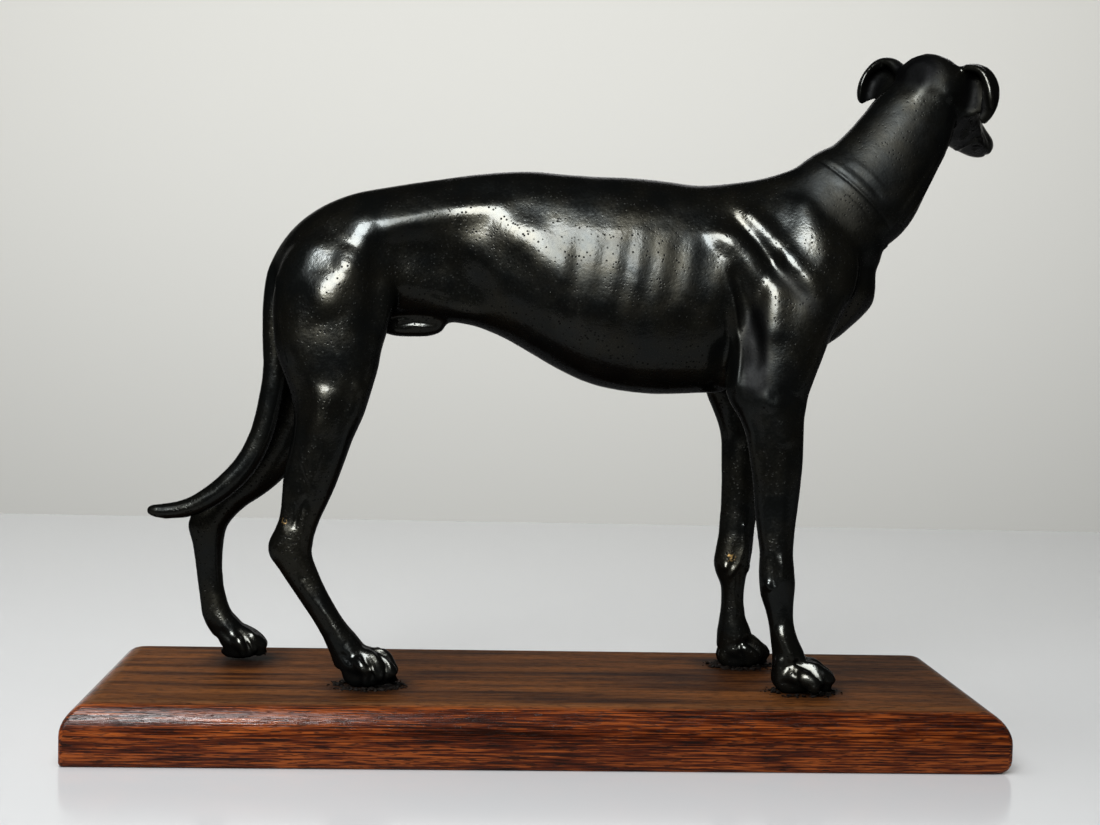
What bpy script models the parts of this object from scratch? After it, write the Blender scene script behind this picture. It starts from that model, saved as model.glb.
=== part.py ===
"""A cast bronze greyhound standing on a wooden plinth, its head turned to its left.

Two separate pieces: the figure, one casting, and the plinth, one board with rounded upper edges.
Metres, +Z up, +X the way the dog faces, -Y its right side. Origin: the middle of the plinth's underside.
The figure is laid out in units of its own height, so that its pose and carving grow with it.
"""

import math

import bmesh
import bpy
import numpy as np
from mathutils import Vector
from mathutils.bvhtree import BVHTree

# Driving sizes, in metres
PLINTH_LENGTH = 0.305
PLINTH_WIDTH = 0.100
PLINTH_THICKNESS = 0.0195
PLINTH_EDGE_RADIUS = 0.0100
PLINTH_CORNER_RADIUS = 0.0015
PLINTH_FOOT_CHAMFER = 0.0012
PLINTH_FORE_CHAMFER = 0.0045
FIGURE_HEIGHT = 0.218
FOOT_GAP = 0.0003

# The figure's own measure: it stands this many units tall, paw to skull
UNITS_TALL = 218.0
UNIT = FIGURE_HEIGHT / UNITS_TALL

# How finely the casting is modelled, in units
CLAY_VOXEL = 0.95
CLAY_SMOOTHING = 6
RING_SIDES = 36
FIGURE_TRIANGLES = 9300
EDGE_SEGMENTS = 8
CORNER_SEGMENTS = 4
CORNER_EASE = 0.25

# Trunk, tail to breastbone: x, top, bottom, half width, height of the widest place, roundness above and below
TRUNK = (
    (-92.0, 145.0, 131.0, 5.0, 138.0, 1.00, 1.00),
    (-89.0, 149.5, 126.0, 10.0, 139.0, 1.00, 1.00),
    (-84.0, 155.0, 122.5, 14.5, 141.0, 1.00, 1.00),
    (-76.0, 160.6, 121.0, 18.0, 143.0, 0.96, 1.00),
    (-66.0, 164.8, 121.5, 19.6, 145.0, 0.94, 1.00),
    (-56.0, 167.0, 122.5, 19.2, 148.0, 0.94, 1.00),
    (-46.0, 168.9, 123.0, 17.4, 151.0, 0.92, 1.05),
    (-36.0, 170.6, 122.0, 15.6, 152.0, 0.92, 1.05),
    (-26.0, 172.3, 121.0, 15.4, 150.0, 0.94, 1.00),
    (-16.0, 173.5, 117.6, 17.0, 146.0, 0.96, 1.00),
    (-6.0, 174.1, 112.4, 19.2, 142.0, 0.98, 1.02),
    (4.0, 173.5, 106.8, 21.0, 139.0, 1.00, 1.05),
    (16.0, 173.0, 101.7, 22.2, 137.0, 1.02, 1.08),
    (28.0, 172.9, 99.4, 22.6, 136.0, 1.04, 1.10),
    (40.0, 172.1, 98.7, 22.2, 135.0, 1.06, 1.12),
    (52.0, 171.0, 99.3, 21.4, 135.0, 1.08, 1.12),
    (64.0, 172.3, 99.8, 20.4, 136.0, 1.12, 1.12),
    (74.0, 174.2, 101.0, 19.4, 137.0, 1.14, 1.12),
    (83.0, 177.2, 103.6, 18.5, 138.0, 1.14, 1.10),
    (89.0, 179.6, 108.0, 17.7, 138.5, 1.12, 1.09),
    (94.0, 177.0, 113.6, 16.8, 139.0, 1.05, 1.08),
    (103.0, 163.0, 120.8, 13.6, 139.0, 1.00, 1.05),
    (110.0, 153.0, 127.4, 9.4, 138.0, 1.00, 1.00),
    (113.6, 145.5, 131.5, 4.6, 138.0, 1.00, 1.00),
)

# Neck, shoulders to skull: x, y, z of its middle, half depth, half width
NECK = (
    (84.0, 0.0, 145.0, 24.0, 15.0),
    (93.4, 0.0, 153.9, 23.6, 15.8),
    (100.7, 0.0, 164.1, 20.8, 15.0),
    (109.5, 0.2, 171.0, 19.8, 13.6),
    (116.0, 0.8, 179.5, 17.6, 12.6),
    (121.6, 1.8, 188.0, 16.2, 12.2),
    (126.5, 3.0, 196.0, 15.0, 12.0),
    (131.0, 4.2, 203.0, 12.6, 11.4),
)

# Tail, root to tip: x, y, z, half depth, half width
TAIL = (
    (-78.0, 0.0, 149.0, 4.6, 5.0),
    (-85.5, 0.0, 145.0, 4.8, 4.9),
    (-90.3, 0.0, 138.0, 4.6, 4.7),
    (-92.0, 0.0, 128.0, 4.5, 4.6),
    (-92.3, 0.0, 117.0, 4.4, 4.5),
    (-92.1, 0.0, 104.0, 4.2, 4.3),
    (-93.7, 0.0, 93.0, 4.1, 4.2),
    (-96.7, 0.0, 81.2, 4.1, 4.1),
    (-102.0, 0.0, 71.1, 4.1, 4.0),
    (-107.4, 0.0, 65.2, 4.0, 3.9),
    (-112.7, 0.0, 60.8, 3.8, 3.7),
    (-119.0, 0.0, 57.2, 3.4, 3.4),
    (-125.4, 0.0, 55.4, 3.0, 3.0),
    (-130.8, 0.0, 55.1, 2.6, 2.6),
    (-135.0, 0.0, 55.6, 1.6, 1.6),
)

# Legs, from inside the body down to the paw: z, back, front, distance from the middle, half width
HIND_NEAR = (
    (153.0, -78.0, -62.0, 9.0, 6.0),
    (148.0, -84.0, -57.0, 11.0, 8.6),
    (140.0, -89.4, -51.5, 12.4, 10.4),
    (130.0, -91.6, -50.6, 13.2, 11.2),
    (120.0, -91.6, -53.0, 13.8, 11.4),
    (112.0, -90.6, -55.2, 14.4, 10.8),
    (106.0, -88.6, -56.2, 15.0, 9.9),
    (100.0, -86.2, -57.8, 15.6, 9.0),
    (95.5, -84.8, -59.1, 16.0, 8.5),
    (91.0, -84.1, -60.4, 16.4, 8.0),
    (82.5, -84.8, -64.0, 16.8, 7.0),
    (73.5, -86.5, -67.1, 17.0, 6.1),
    (67.5, -87.3, -69.2, 17.0, 5.5),
    (61.5, -87.5, -71.7, 17.0, 4.8),
    (55.3, -88.3, -74.5, 17.0, 4.5),
    (51.3, -89.9, -75.9, 17.0, 4.7),
    (47.2, -91.8, -76.8, 17.0, 4.9),
    (43.6, -91.6, -77.0, 17.0, 4.8),
    (39.2, -88.6, -75.5, 17.0, 4.3),
    (33.2, -84.6, -72.8, 17.0, 3.9),
    (27.2, -80.5, -69.6, 17.0, 3.8),
    (21.2, -76.4, -65.8, 17.0, 4.2),
    (15.5, -73.0, -61.0, 17.0, 5.0),
    (10.0, -70.5, -57.5, 17.0, 5.6),
    (5.5, -69.0, -57.0, 17.0, 5.0),
)
HIND_FAR = (
    (153.0, -78.0, -62.0, 9.0, 6.0),
    (148.0, -84.0, -57.0, 11.0, 8.6),
    (140.0, -89.4, -51.5, 12.4, 10.4),
    (130.0, -92.8, -52.0, 13.2, 11.2),
    (120.0, -93.8, -56.0, 13.8, 11.2),
    (110.0, -95.0, -60.5, 14.6, 10.4),
    (100.0, -96.6, -65.6, 15.4, 9.2),
    (92.0, -98.2, -70.4, 16.2, 8.2),
    (84.0, -100.6, -76.2, 17.0, 7.2),
    (76.0, -103.8, -82.0, 17.6, 6.4),
    (70.0, -107.2, -86.8, 18.0, 5.8),
    (64.5, -111.4, -91.2, 18.2, 5.2),
    (59.5, -116.0, -97.0, 18.4, 4.8),
    (55.0, -120.4, -103.6, 18.6, 4.6),
    (51.0, -123.4, -107.8, 18.8, 4.8),
    (47.2, -124.2, -110.4, 19.0, 4.8),
    (43.0, -122.9, -111.3, 19.2, 4.5),
    (36.5, -121.8, -111.8, 19.4, 4.0),
    (30.2, -121.0, -111.7, 19.6, 3.8),
    (24.0, -120.1, -110.8, 19.8, 3.8),
    (17.3, -119.3, -108.6, 20.0, 4.4),
    (12.5, -117.6, -104.4, 20.0, 5.0),
    (8.0, -114.6, -103.0, 20.0, 5.2),
)
FORE_NEAR = (
    (166.0, 79.0, 93.0, 9.0, 5.0),
    (157.0, 76.0, 101.0, 11.4, 7.2),
    (147.0, 72.0, 105.0, 13.2, 8.6),
    (137.0, 68.0, 104.0, 14.4, 9.2),
    (127.0, 65.0, 99.6, 15.4, 9.2),
    (118.0, 62.4, 94.9, 16.4, 8.9),
    (110.5, 60.6, 92.0, 17.2, 8.4),
    (104.0, 59.6, 89.6, 17.8, 7.8),
    (100.5, 60.2, 88.4, 18.0, 7.3),
    (97.0, 61.8, 87.8, 18.2, 6.9),
    (92.5, 64.8, 87.2, 18.2, 6.4),
    (86.5, 67.3, 87.1, 18.2, 6.0),
    (78.0, 69.0, 87.2, 18.0, 5.6),
    (69.0, 70.4, 86.7, 17.8, 5.1),
    (60.0, 71.3, 85.9, 17.6, 4.7),
    (52.5, 72.5, 85.2, 17.5, 4.6),
    (46.5, 73.4, 85.0, 17.5, 4.8),
    (40.5, 73.3, 85.6, 17.5, 5.1),
    (36.2, 73.6, 86.1, 17.5, 5.1),
    (32.0, 74.2, 85.9, 17.5, 4.7),
    (28.0, 75.7, 85.7, 17.6, 4.3),
    (23.0, 77.1, 85.9, 17.8, 4.2),
    (18.0, 78.0, 87.2, 18.0, 4.7),
    (12.0, 78.8, 90.0, 18.2, 5.4),
    (6.0, 79.0, 90.0, 18.4, 5.2),
)
FORE_FAR = (
    (166.0, 79.0, 93.0, 9.0, 5.0),
    (157.0, 76.0, 101.0, 11.4, 7.2),
    (147.0, 72.0, 105.0, 13.2, 8.6),
    (137.0, 67.0, 102.0, 14.4, 9.2),
    (127.0, 63.6, 96.8, 15.4, 9.2),
    (118.0, 60.8, 91.6, 16.4, 8.9),
    (110.5, 59.0, 88.4, 17.2, 8.4),
    (104.0, 58.4, 86.6, 17.8, 7.8),
    (99.5, 58.8, 86.0, 18.0, 7.2),
    (95.0, 60.7, 84.0, 18.2, 6.8),
    (90.8, 62.6, 83.0, 18.2, 6.4),
    (84.0, 64.8, 82.0, 18.2, 6.0),
    (74.0, 65.3, 81.0, 18.0, 5.4),
    (65.0, 65.6, 80.0, 18.0, 4.9),
    (56.0, 65.5, 79.0, 18.0, 4.6),
    (47.5, 65.0, 78.1, 18.0, 4.7),
    (42.5, 64.3, 77.8, 18.0, 5.1),
    (37.5, 63.6, 77.1, 18.0, 5.1),
    (33.5, 64.6, 76.0, 18.1, 4.7),
    (30.0, 66.3, 75.4, 18.2, 4.3),
    (24.0, 66.9, 75.2, 18.4, 4.1),
    (18.0, 66.5, 76.0, 18.6, 4.6),
    (12.0, 65.8, 78.4, 18.8, 5.4),
    (6.0, 65.8, 78.0, 19.0, 5.2),
)

# Paws: heel x, y, height of the sole, heading in degrees (left of forward), length, height of the knuckles
PAWS = (
    (79.4, -18.4, 0.0, -7.0, 20.8, 10.8),
    (65.4, 18.8, 0.0, 8.0, 20.2, 11.4),
    (-67.6, -17.2, 0.0, -4.0, 19.8, 12.8),
    (-113.8, 19.8, 0.5, 4.0, 18.0, 12.0),
)
# One toe of a paw of unit length: sideways place, reach of its tip, share of the knuckle height, thickness
TOES = (
    (-0.250, 0.80, 0.78, 0.128),
    (-0.086, 0.97, 1.00, 0.134),
    (0.086, 0.97, 1.00, 0.134),
    (0.250, 0.80, 0.78, 0.128),
)
# The same toe from root to tip: share of its reach, share of its spread, share of the knuckle height, size
TOE_ARCH = (
    (0.18, 0.55, 0.95, 0.90),
    (0.48, 0.92, 1.00, 1.00),
    (0.74, 1.04, 0.72, 1.00),
    (0.90, 1.00, 0.38, 0.95),
    (0.985, 0.96, 0.20, 0.70),
)
# The pad of a paw of unit length: reach, half depth, half width
PAD = ((0.09, 0.05, 0.10), (0.18, 0.11, 0.18), (0.40, 0.15, 0.27), (0.66, 0.13, 0.26), (0.82, 0.06, 0.15))

# Head: its middle, between the ears, and the way it looks
HEAD_PLACE = (133.0, 5.0, 205.6)
HEAD_TURN = 48.0
HEAD_NOD = 15.0
HEAD_TILT = 9.0
# Skull to nose, in the head's own frame: forward, middle height, half height above and below, half width
HEAD = (
    (-13.6, 2.0, 4.0, 5.0, 4.6),
    (-10.4, 1.6, 8.4, 8.8, 9.0),
    (-5.0, 1.0, 11.2, 10.8, 12.2),
    (1.0, 0.6, 11.6, 11.2, 13.8),
    (7.0, 0.2, 11.6, 11.0, 14.0),
    (12.0, -0.4, 10.4, 10.4, 12.6),
    (17.0, -1.2, 8.8, 9.6, 11.6),
    (23.0, -2.0, 7.2, 8.4, 9.8),
    (30.0, -2.6, 6.4, 7.2, 7.8),
    (37.0, -2.8, 5.9, 6.0, 6.7),
    (42.6, -2.7, 5.3, 5.2, 5.9),
    (46.4, -2.4, 4.5, 4.2, 5.0),
    (48.7, -2.1, 2.8, 2.6, 3.0),
)
# One folded ear, root to tip, on the left: forward, left, up, half width, half thickness, curl of its edges
EAR = (
    (-0.5, 8.0, 6.0, 4.6, 2.4, 0.2),
    (-0.5, 12.6, 9.4, 5.6, 2.0, 0.8),
    (0.0, 17.0, 9.4, 6.2, 1.8, 1.8),
    (0.6, 20.6, 6.0, 6.6, 1.7, 2.8),
    (1.2, 22.2, 1.2, 6.4, 1.6, 3.0),
    (1.4, 22.0, -3.8, 5.2, 1.5, 2.4),
    (1.4, 20.6, -8.2, 2.8, 1.3, 1.0),
)
# How each ear differs from that pattern: side, forward, outward, up, share of its height, lean of its top
EARS = ((1, -5.2, 2.6, -0.9, 0.90, 0.13), (-1, 2.1, -0.4, 0.5, 1.00, 0.00))
# The wall that closes each ear's hollow in front: forward, left, up, half width, half height, curl
EAR_ROOT = (
    (3.0, 7.0, 1.0, 3.0, 8.0, 0.0),
    (3.2, 12.0, 1.6, 2.6, 8.2, 0.0),
    (3.4, 17.0, 1.8, 2.2, 7.2, 0.0),
    (3.6, 20.8, 0.6, 1.6, 5.0, 0.0),
)

# The sheath under the belly: x, y, z, half depth, half width
SHEATH = (
    (-58.0, 0.0, 121.4, 2.8, 2.8),
    (-52.0, 0.0, 120.6, 3.9, 3.9),
    (-45.0, 0.0, 120.4, 3.9, 4.0),
    (-39.0, 0.0, 120.3, 3.3, 3.5),
    (-34.6, 0.0, 120.6, 1.9, 2.1),
)

# Muscle and bone that shows on both sides: points (x, z) of a side view, reach, height (below zero cuts)
MUSCLES = (
    (((56, 153), (65, 150.5), (75, 135.5), (74, 122)), 6.0, 1.3),
    (((66, 161), (76, 151), (85.5, 138.6)), 5.0, 1.1),
    (((62, 160), (72, 148), (83, 134)), 4.4, -0.9),
    (((86, 166), (91.5, 149), (89, 135)), 5.0, 0.7),
    (((61.5, 141), (66.3, 124.4), (68.4, 111)), 3.6, -1.3),
    (((58.5, 141), (65.0, 116.3), (63.0, 103)), 2.8, 0.8),
    (((57, 128), (58, 114), (57.5, 101)), 4.2, -1.1),
    (((102, 131), (96, 118)), 4.0, -0.9),
    (((70, 101), (76, 97), (79, 86)), 5.0, 0.8),
    (((-62, 154), (-66, 140), (-73, 130)), 9.0, 1.4),
    (((-80, 146), (-83, 128), (-83, 112)), 7.0, 0.5),
    (((-57, 146), (-57, 134), (-58, 122)), 5.0, -0.8),
    (((-48, 144), (-38, 142), (-26, 134)), 11.0, -2.0),
    (((-51, 154.5), (-36, 158), (-17, 161.5)), 6.0, 0.8),
    (((-14, 154), (-6, 150), (2, 140)), 9.0, 1.1),
    (((-74, 98), (-75, 88), (-78, 76)), 4.5, 0.5),
    (((-84, 98), (-84, 86), (-86, 72)), 3.0, -0.6),
)
# Ribs: the x of each at mid height, and their ends
RIB_PLACES = (3.3, 12.4, 20.5, 28.2, 36.4, 45.0)
RIB_TOP = 153.0
RIB_FOOT = 124.0
RIB_LEAN = 5.0
RIB_REACH = 3.8
RIB_HEIGHT = 0.32


def clear_scene():
    """Removes whatever the file was opened with."""
    for thing in list(bpy.data.objects):
        bpy.data.objects.remove(thing, do_unlink=True)


def finish(name, colour, roughness, metallic):
    """A plain material: colour is linear red, green and blue."""
    material = bpy.data.materials.new(name)
    material.use_nodes = True
    shader = material.node_tree.nodes["Principled BSDF"]
    shader.inputs["Base Color"].default_value = (*colour, 1.0)
    shader.inputs["Roughness"].default_value = roughness
    shader.inputs["Metallic"].default_value = metallic
    return material


def new_object(name, mesh, material):
    """Puts a mesh in the scene under a name, with its material."""
    thing = bpy.data.objects.new(name, mesh)
    bpy.context.scene.collection.objects.link(thing)
    mesh.materials.append(material)
    return thing


def eased(rows, count):
    """The rows of a table read again at even steps of a smooth curve through them."""
    table = np.array(rows, float)
    steps = np.linalg.norm(np.diff(table[:, :3], axis=0), axis=1)
    along = np.concatenate([[0.0], np.cumsum(steps)])
    slope = np.gradient(table, along, axis=0)
    places = np.linspace(0.0, along[-1], count)
    at = np.clip(np.searchsorted(along, places) - 1, 0, len(table) - 2)
    span = (along[at + 1] - along[at])[:, None]
    t = (places - along[at])[:, None] / span
    start = (1 + 2 * t) * (1 - t) ** 2 * table[at] + t * (1 - t) ** 2 * span * slope[at]
    end = t**2 * (3 - 2 * t) * table[at + 1] + t**2 * (t - 1) * span * slope[at + 1]
    return start + end


def add_skin(body, rings):
    """A closed skin over rings of points, with a point at the middle of each end."""
    lines = [[body.verts.new(point) for point in ring] for ring in rings]
    sides = len(lines[0])
    for here, there in zip(lines, lines[1:]):
        for k in range(sides):
            after = (k + 1) % sides
            body.faces.new((here[k], here[after], there[after], there[k]))
    for line, turned in ((lines[0], True), (lines[-1], False)):
        middle = body.verts.new(sum((v.co for v in line), Vector()) / sides)
        for k in range(sides):
            pair = (line[k], line[(k + 1) % sides])
            body.faces.new((middle, *(reversed(pair) if turned else pair)))


def oval(middle, across, upright, half_across, half_up):
    """Points of an ellipse about a middle, from two directions and its half sizes."""
    points = []
    for k in range(RING_SIDES):
        angle = 2 * math.pi * k / RING_SIDES
        aside = across * (half_across * math.sin(angle))
        points.append(middle + aside + upright * (half_up * math.cos(angle)))
    return points


def rounded(share, power):
    """A sine or cosine raised to a power, with its sign kept."""
    return math.copysign(abs(share) ** power, share)


def trunk_rings():
    """Upright sections of the trunk, deep and keeled at the chest and arched at the loin."""
    rings = []
    for x, top, bottom, half, widest, above, below in eased(TRUNK, 110):
        ring = []
        for k in range(RING_SIDES):
            angle = 2 * math.pi * k / RING_SIDES
            up, side = math.cos(angle), math.sin(angle)
            rise = top - widest if up > 0 else widest - bottom
            spread = rounded(side, above if up > 0 else below)
            ring.append(Vector((x, -half * spread, widest + rise * up)))
        rings.append(ring)
    return rings


def leg_rings(rows, side):
    """Level sections of a leg; side is -1 for the dog's right and 1 for its left."""
    rings = []
    for z, back, front, out, half in eased(rows, 120):
        middle = Vector(((back + front) / 2, side * out, z))
        rings.append(oval(middle, Vector((0, -1, 0)), Vector((1, 0, 0)), half, (front - back) / 2))
    return rings


def swept_rings(rows, count, across=Vector((0, 1, 0))):
    """Sections square to a curved middle line: x, y, z, half depth, half width."""
    table = eased(rows, count)
    rings = []
    for k, (x, y, z, depth, width) in enumerate(table):
        before, after = table[max(k - 1, 0)], table[min(k + 1, count - 1)]
        along = Vector(after[:3] - before[:3]).normalized()
        side = (across - along * across.dot(along)).normalized()
        rings.append(oval(Vector((x, y, z)), side, side.cross(along), width, depth))
    return rings


def head_axes():
    """The head's forward, left and up directions."""
    turn, nod, tilt = (math.radians(a) for a in (HEAD_TURN, HEAD_NOD, HEAD_TILT))
    forward = Vector((math.cos(turn) * math.cos(nod), math.sin(turn) * math.cos(nod), -math.sin(nod)))
    level = Vector((-math.sin(turn), math.cos(turn), 0))
    upright = forward.cross(level)
    left = level * math.cos(tilt) + upright * math.sin(tilt)
    return forward, left, forward.cross(left)


def in_head(forward_by, left_by, up_by):
    """A point given in the head's own frame, as a point of the figure."""
    forward, left, up = head_axes()
    return Vector(HEAD_PLACE) + forward * forward_by + left * left_by + up * up_by


def head_rings():
    """Sections of the skull and muzzle, square to the way the dog looks."""
    rings = []
    for along, height, above, below, half in eased(HEAD, 70):
        ring = []
        for k in range(RING_SIDES):
            angle = 2 * math.pi * k / RING_SIDES
            rise = math.cos(angle) * (above if math.cos(angle) > 0 else below)
            ring.append(in_head(along, half * math.sin(angle), height + rise))
        rings.append(ring)
    return rings


def ear_rings(rows, side, shift_forward, shift_out, shift_up, tallness, lean):
    """One folded ear as a curled leaf; side is 1 for the left and -1 for the right."""
    forward, left, up = head_axes()
    table = eased(rows, 40)
    rings = []
    for k, (along, out, height, half, thick, curl) in enumerate(table):
        before, after = table[max(k - 1, 0)], table[min(k + 1, len(table) - 1)]
        run = after[:3] - before[:3]
        along += height * lean
        height *= tallness
        way = (forward * run[0] + left * (run[1] * side) + up * run[2]).normalized()
        broad = (forward - way * way.dot(forward)).normalized()
        outward = broad.cross(way) * -side
        if outward.dot(left * side + up) < 0:
            outward = -outward
        middle = in_head(along + shift_forward, (out + shift_out) * side, height + shift_up)
        ring = []
        for point in oval(middle, broad, outward, half, thick):
            share = (point - middle).dot(broad) / half
            ring.append(point - outward * (curl * share**2))
        rings.append(ring)
    return rings


def paw_skins(heel_x, heel_y, sole, heading, length, knuckle):
    """The ring lists of a paw: four arched toes and the pad under them."""
    turn = math.radians(heading)
    ahead = Vector((math.cos(turn), math.sin(turn), 0))
    aside = Vector((-math.sin(turn), math.cos(turn), 0))
    heel = Vector((heel_x, heel_y, sole))
    skins = []
    for place, reach, share_up, thick in TOES:
        rows = []
        for share, spread, rise, size in TOE_ARCH:
            radius = thick * length * size
            point = heel + ahead * (reach * share * length) + aside * (place * spread * length)
            point.z += radius + (knuckle * share_up - 2 * thick * length) * rise
            rows.append((*point, radius, radius))
        skins.append(swept_rings(rows, 20, aside))
    pad = []
    for share, depth, width in PAD:
        point = heel + ahead * (share * length)
        pad.append((point.x, point.y, point.z + 0.13 * length, depth * length, width * length))
    skins.append(swept_rings(pad, 14, aside))
    return skins


def clay_figure():
    """All the rounded masses of the dog in one mesh, still overlapping."""
    body = bmesh.new()
    skins = [trunk_rings(), swept_rings(NECK, 50), swept_rings(TAIL, 90), head_rings()]
    skins += [leg_rings(HIND_NEAR, -1), leg_rings(HIND_FAR, 1)]
    skins += [leg_rings(FORE_NEAR, -1), leg_rings(FORE_FAR, 1)]
    skins += [swept_rings(SHEATH, 16)] + [ear_rings(rows, *ear) for ear in EARS for rows in (EAR, EAR_ROOT)]
    for paw in PAWS:
        skins += paw_skins(*paw)
    for rings in skins:
        before = set(body.faces)
        add_skin(body, rings)
        made = [face for face in body.faces if face not in before]
        bmesh.ops.recalc_face_normals(body, faces=made)
    mesh = bpy.data.meshes.new("greyhound")
    body.to_mesh(mesh)
    body.free()
    return mesh


def apply_modifiers(thing):
    """Bakes an object's modifiers into its mesh."""
    graph = bpy.context.evaluated_depsgraph_get()
    baked = bpy.data.meshes.new_from_object(thing.evaluated_get(graph))
    thing.modifiers.clear()
    thing.data = baked


def read_points(mesh, what="co"):
    """The vertices' places (or normals) as rows."""
    values = np.empty(len(mesh.vertices) * 3)
    mesh.vertices.foreach_get(what, values)
    return values.reshape(-1, 3)


def write_points(mesh, points):
    """Puts the vertices at these places."""
    mesh.vertices.foreach_set("co", points.ravel())
    mesh.update()


def ease_skin(mesh, rounds):
    """Evens out the skin; each inward step has an outward one after it, so thin parts keep their size."""
    edges = np.empty(len(mesh.edges) * 2, int)
    mesh.edges.foreach_get("vertices", edges)
    one, other = edges.reshape(-1, 2).T
    points = read_points(mesh)
    count = len(points)
    degree = np.bincount(np.concatenate([one, other]), minlength=count)[:, None]
    for _ in range(rounds):
        for step in (0.6, -0.62):
            total = np.zeros_like(points)
            for axis, values in enumerate(points.T):
                total[:, axis] = np.bincount(one, values[other], count)
                total[:, axis] += np.bincount(other, values[one], count)
            points = points + step * (total / degree - points)
    write_points(mesh, points)


def fuse(thing):
    """Runs the overlapping masses together into one skin and eases the joins."""
    fused = thing.modifiers.new("fuse", "REMESH")
    fused.mode = "VOXEL"
    fused.voxel_size = CLAY_VOXEL
    apply_modifiers(thing)
    ease_skin(thing.data, CLAY_SMOOTHING)


def on_surface(tree, x, z, side):
    """Where a level line from that side of the dog first meets it."""
    start = Vector((x, side * UNITS_TALL, z))
    point = tree.ray_cast(start, Vector((0, -side, 0)))[0]
    return point if point is not None else Vector((x, side * 10.0, z))


def distance_to_line(points, line):
    """How far each point is from a line of points."""
    nearest = np.full(len(points), np.inf)
    for start, end in zip(line, line[1:]):
        run = end - start
        share = np.clip((points - start) @ run / max(run @ run, 1e-9), 0, 1)
        nearest = np.minimum(nearest, np.linalg.norm(points - start - share[:, None] * run, axis=1))
    return nearest


def carve(thing, strokes):
    """Raises or cuts the skin along strokes drawn on both sides, each fading out over its reach."""
    mesh = thing.data
    points = read_points(mesh)
    body = bmesh.new()
    body.from_mesh(mesh)
    tree = BVHTree.FromBMesh(body)
    body.free()
    moved = np.zeros(len(points))
    for places, reach, height in strokes:
        for side in (-1, 1):
            line = [np.array(on_surface(tree, x, z, side)) for x, z in places]
            share = np.clip(distance_to_line(points, line) / reach, 0, 1)
            moved += height * (1 - share**2) ** 2
    write_points(mesh, points + read_points(mesh, "normal") * moved[:, None])


def rib_strokes():
    """The ribs, leaning back a little towards their feet."""
    strokes = []
    for x in RIB_PLACES:
        head, middle, foot = (x + RIB_LEAN * share for share in (0.5, 0.2, -0.5))
        line = ((head, RIB_TOP), (middle, (RIB_TOP + RIB_FOOT) / 2), (foot, RIB_FOOT))
        strokes.append((line, RIB_REACH, RIB_HEIGHT))
    return strokes


def flatten_soles(thing):
    """Cuts the standing paws flat where they meet the plinth."""
    points = read_points(thing.data)
    points[:, 2] = np.maximum(points[:, 2], 0.0)
    write_points(thing.data, points)


def make_greyhound():
    """The figure: one casting, standing on the plinth with a hair's gap under its paws."""
    bronze = finish("black_patina_bronze", (0.018, 0.017, 0.016), 0.32, 0.85)
    dog = new_object("greyhound", clay_figure(), bronze)
    fuse(dog)
    carve(dog, MUSCLES + tuple(rib_strokes()))
    flatten_soles(dog)
    for vertex in dog.data.vertices:
        vertex.co *= UNIT
    dog.location.z = PLINTH_THICKNESS + FOOT_GAP
    faces = sum(len(face.vertices) - 2 for face in dog.data.polygons)
    facets = dog.modifiers.new("facets", "DECIMATE")
    facets.ratio = FIGURE_TRIANGLES / faces
    dog.data.shade_smooth()
    if not dog.data.materials:
        dog.data.materials.append(bronze)
    return dog


def board_ring(inset, fore_inset, height):
    """One level of the board, a rectangle whose corners get rounder the further in they lie."""
    radius = PLINTH_CORNER_RADIUS + CORNER_EASE * inset
    ring = []
    for quarter, (way_x, way_y) in enumerate(((1, 1), (-1, 1), (-1, -1), (1, -1))):
        middle_x = way_x * (PLINTH_LENGTH / 2 - (fore_inset if way_x > 0 else inset) - radius)
        middle_y = way_y * (PLINTH_WIDTH / 2 - inset - radius)
        for step in range(CORNER_SEGMENTS + 1):
            angle = (quarter + step / CORNER_SEGMENTS) * math.pi / 2
            corner_x, corner_y = radius * math.cos(angle), radius * math.sin(angle)
            ring.append(Vector((middle_x + corner_x, middle_y + corner_y, height)))
    return ring


def make_plinth():
    """The board: square sides, a quarter round above and a broken edge below, more so at the fore end."""
    wood = finish("oiled_hardwood", (0.16, 0.045, 0.018), 0.42, 0.0)
    rings = [
        board_ring(PLINTH_FOOT_CHAMFER, PLINTH_FORE_CHAMFER, 0.0),
        board_ring(0.0, PLINTH_FORE_CHAMFER - PLINTH_FOOT_CHAMFER, PLINTH_FOOT_CHAMFER),
        board_ring(0.0, 0.0, PLINTH_FORE_CHAMFER),
    ]
    for step in range(EDGE_SEGMENTS + 1):
        angle = step / EDGE_SEGMENTS * math.pi / 2
        inset = PLINTH_EDGE_RADIUS * (1 - math.cos(angle))
        rings.append(board_ring(inset, inset, PLINTH_THICKNESS - PLINTH_EDGE_RADIUS * (1 - math.sin(angle))))
    mesh = bpy.data.meshes.new("plinth")
    body = bmesh.new()
    add_skin(body, rings)
    bmesh.ops.recalc_face_normals(body, faces=body.faces)
    body.to_mesh(mesh)
    body.free()
    return new_object("plinth", mesh, wood)


def main():
    """Clears the scene and builds both pieces."""
    clear_scene()
    make_plinth()
    make_greyhound()


main()
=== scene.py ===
"""Looks of a cast bronze greyhound on a hardwood plinth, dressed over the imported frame.

The casting is a fine copy of the solid. Its facets are eased away, the small forms of head and paws are
added as clay and fused on, and the shallow modelling is carved along lines drawn in the dog's side view.
The plinth is a routed board with its own grain, and crumbs of old filler lie round three of the paws.

The scene is in metres and +Z up, as the solids are. Places on the figure are in millimetres: forward,
left, and up from the top of the plinth.
"""

from __future__ import annotations

import logging
import math
from collections.abc import Callable
from dataclasses import dataclass, field
from enum import Enum

import bmesh
import bpy
import numpy as np
from mathutils import Matrix, Vector

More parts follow.
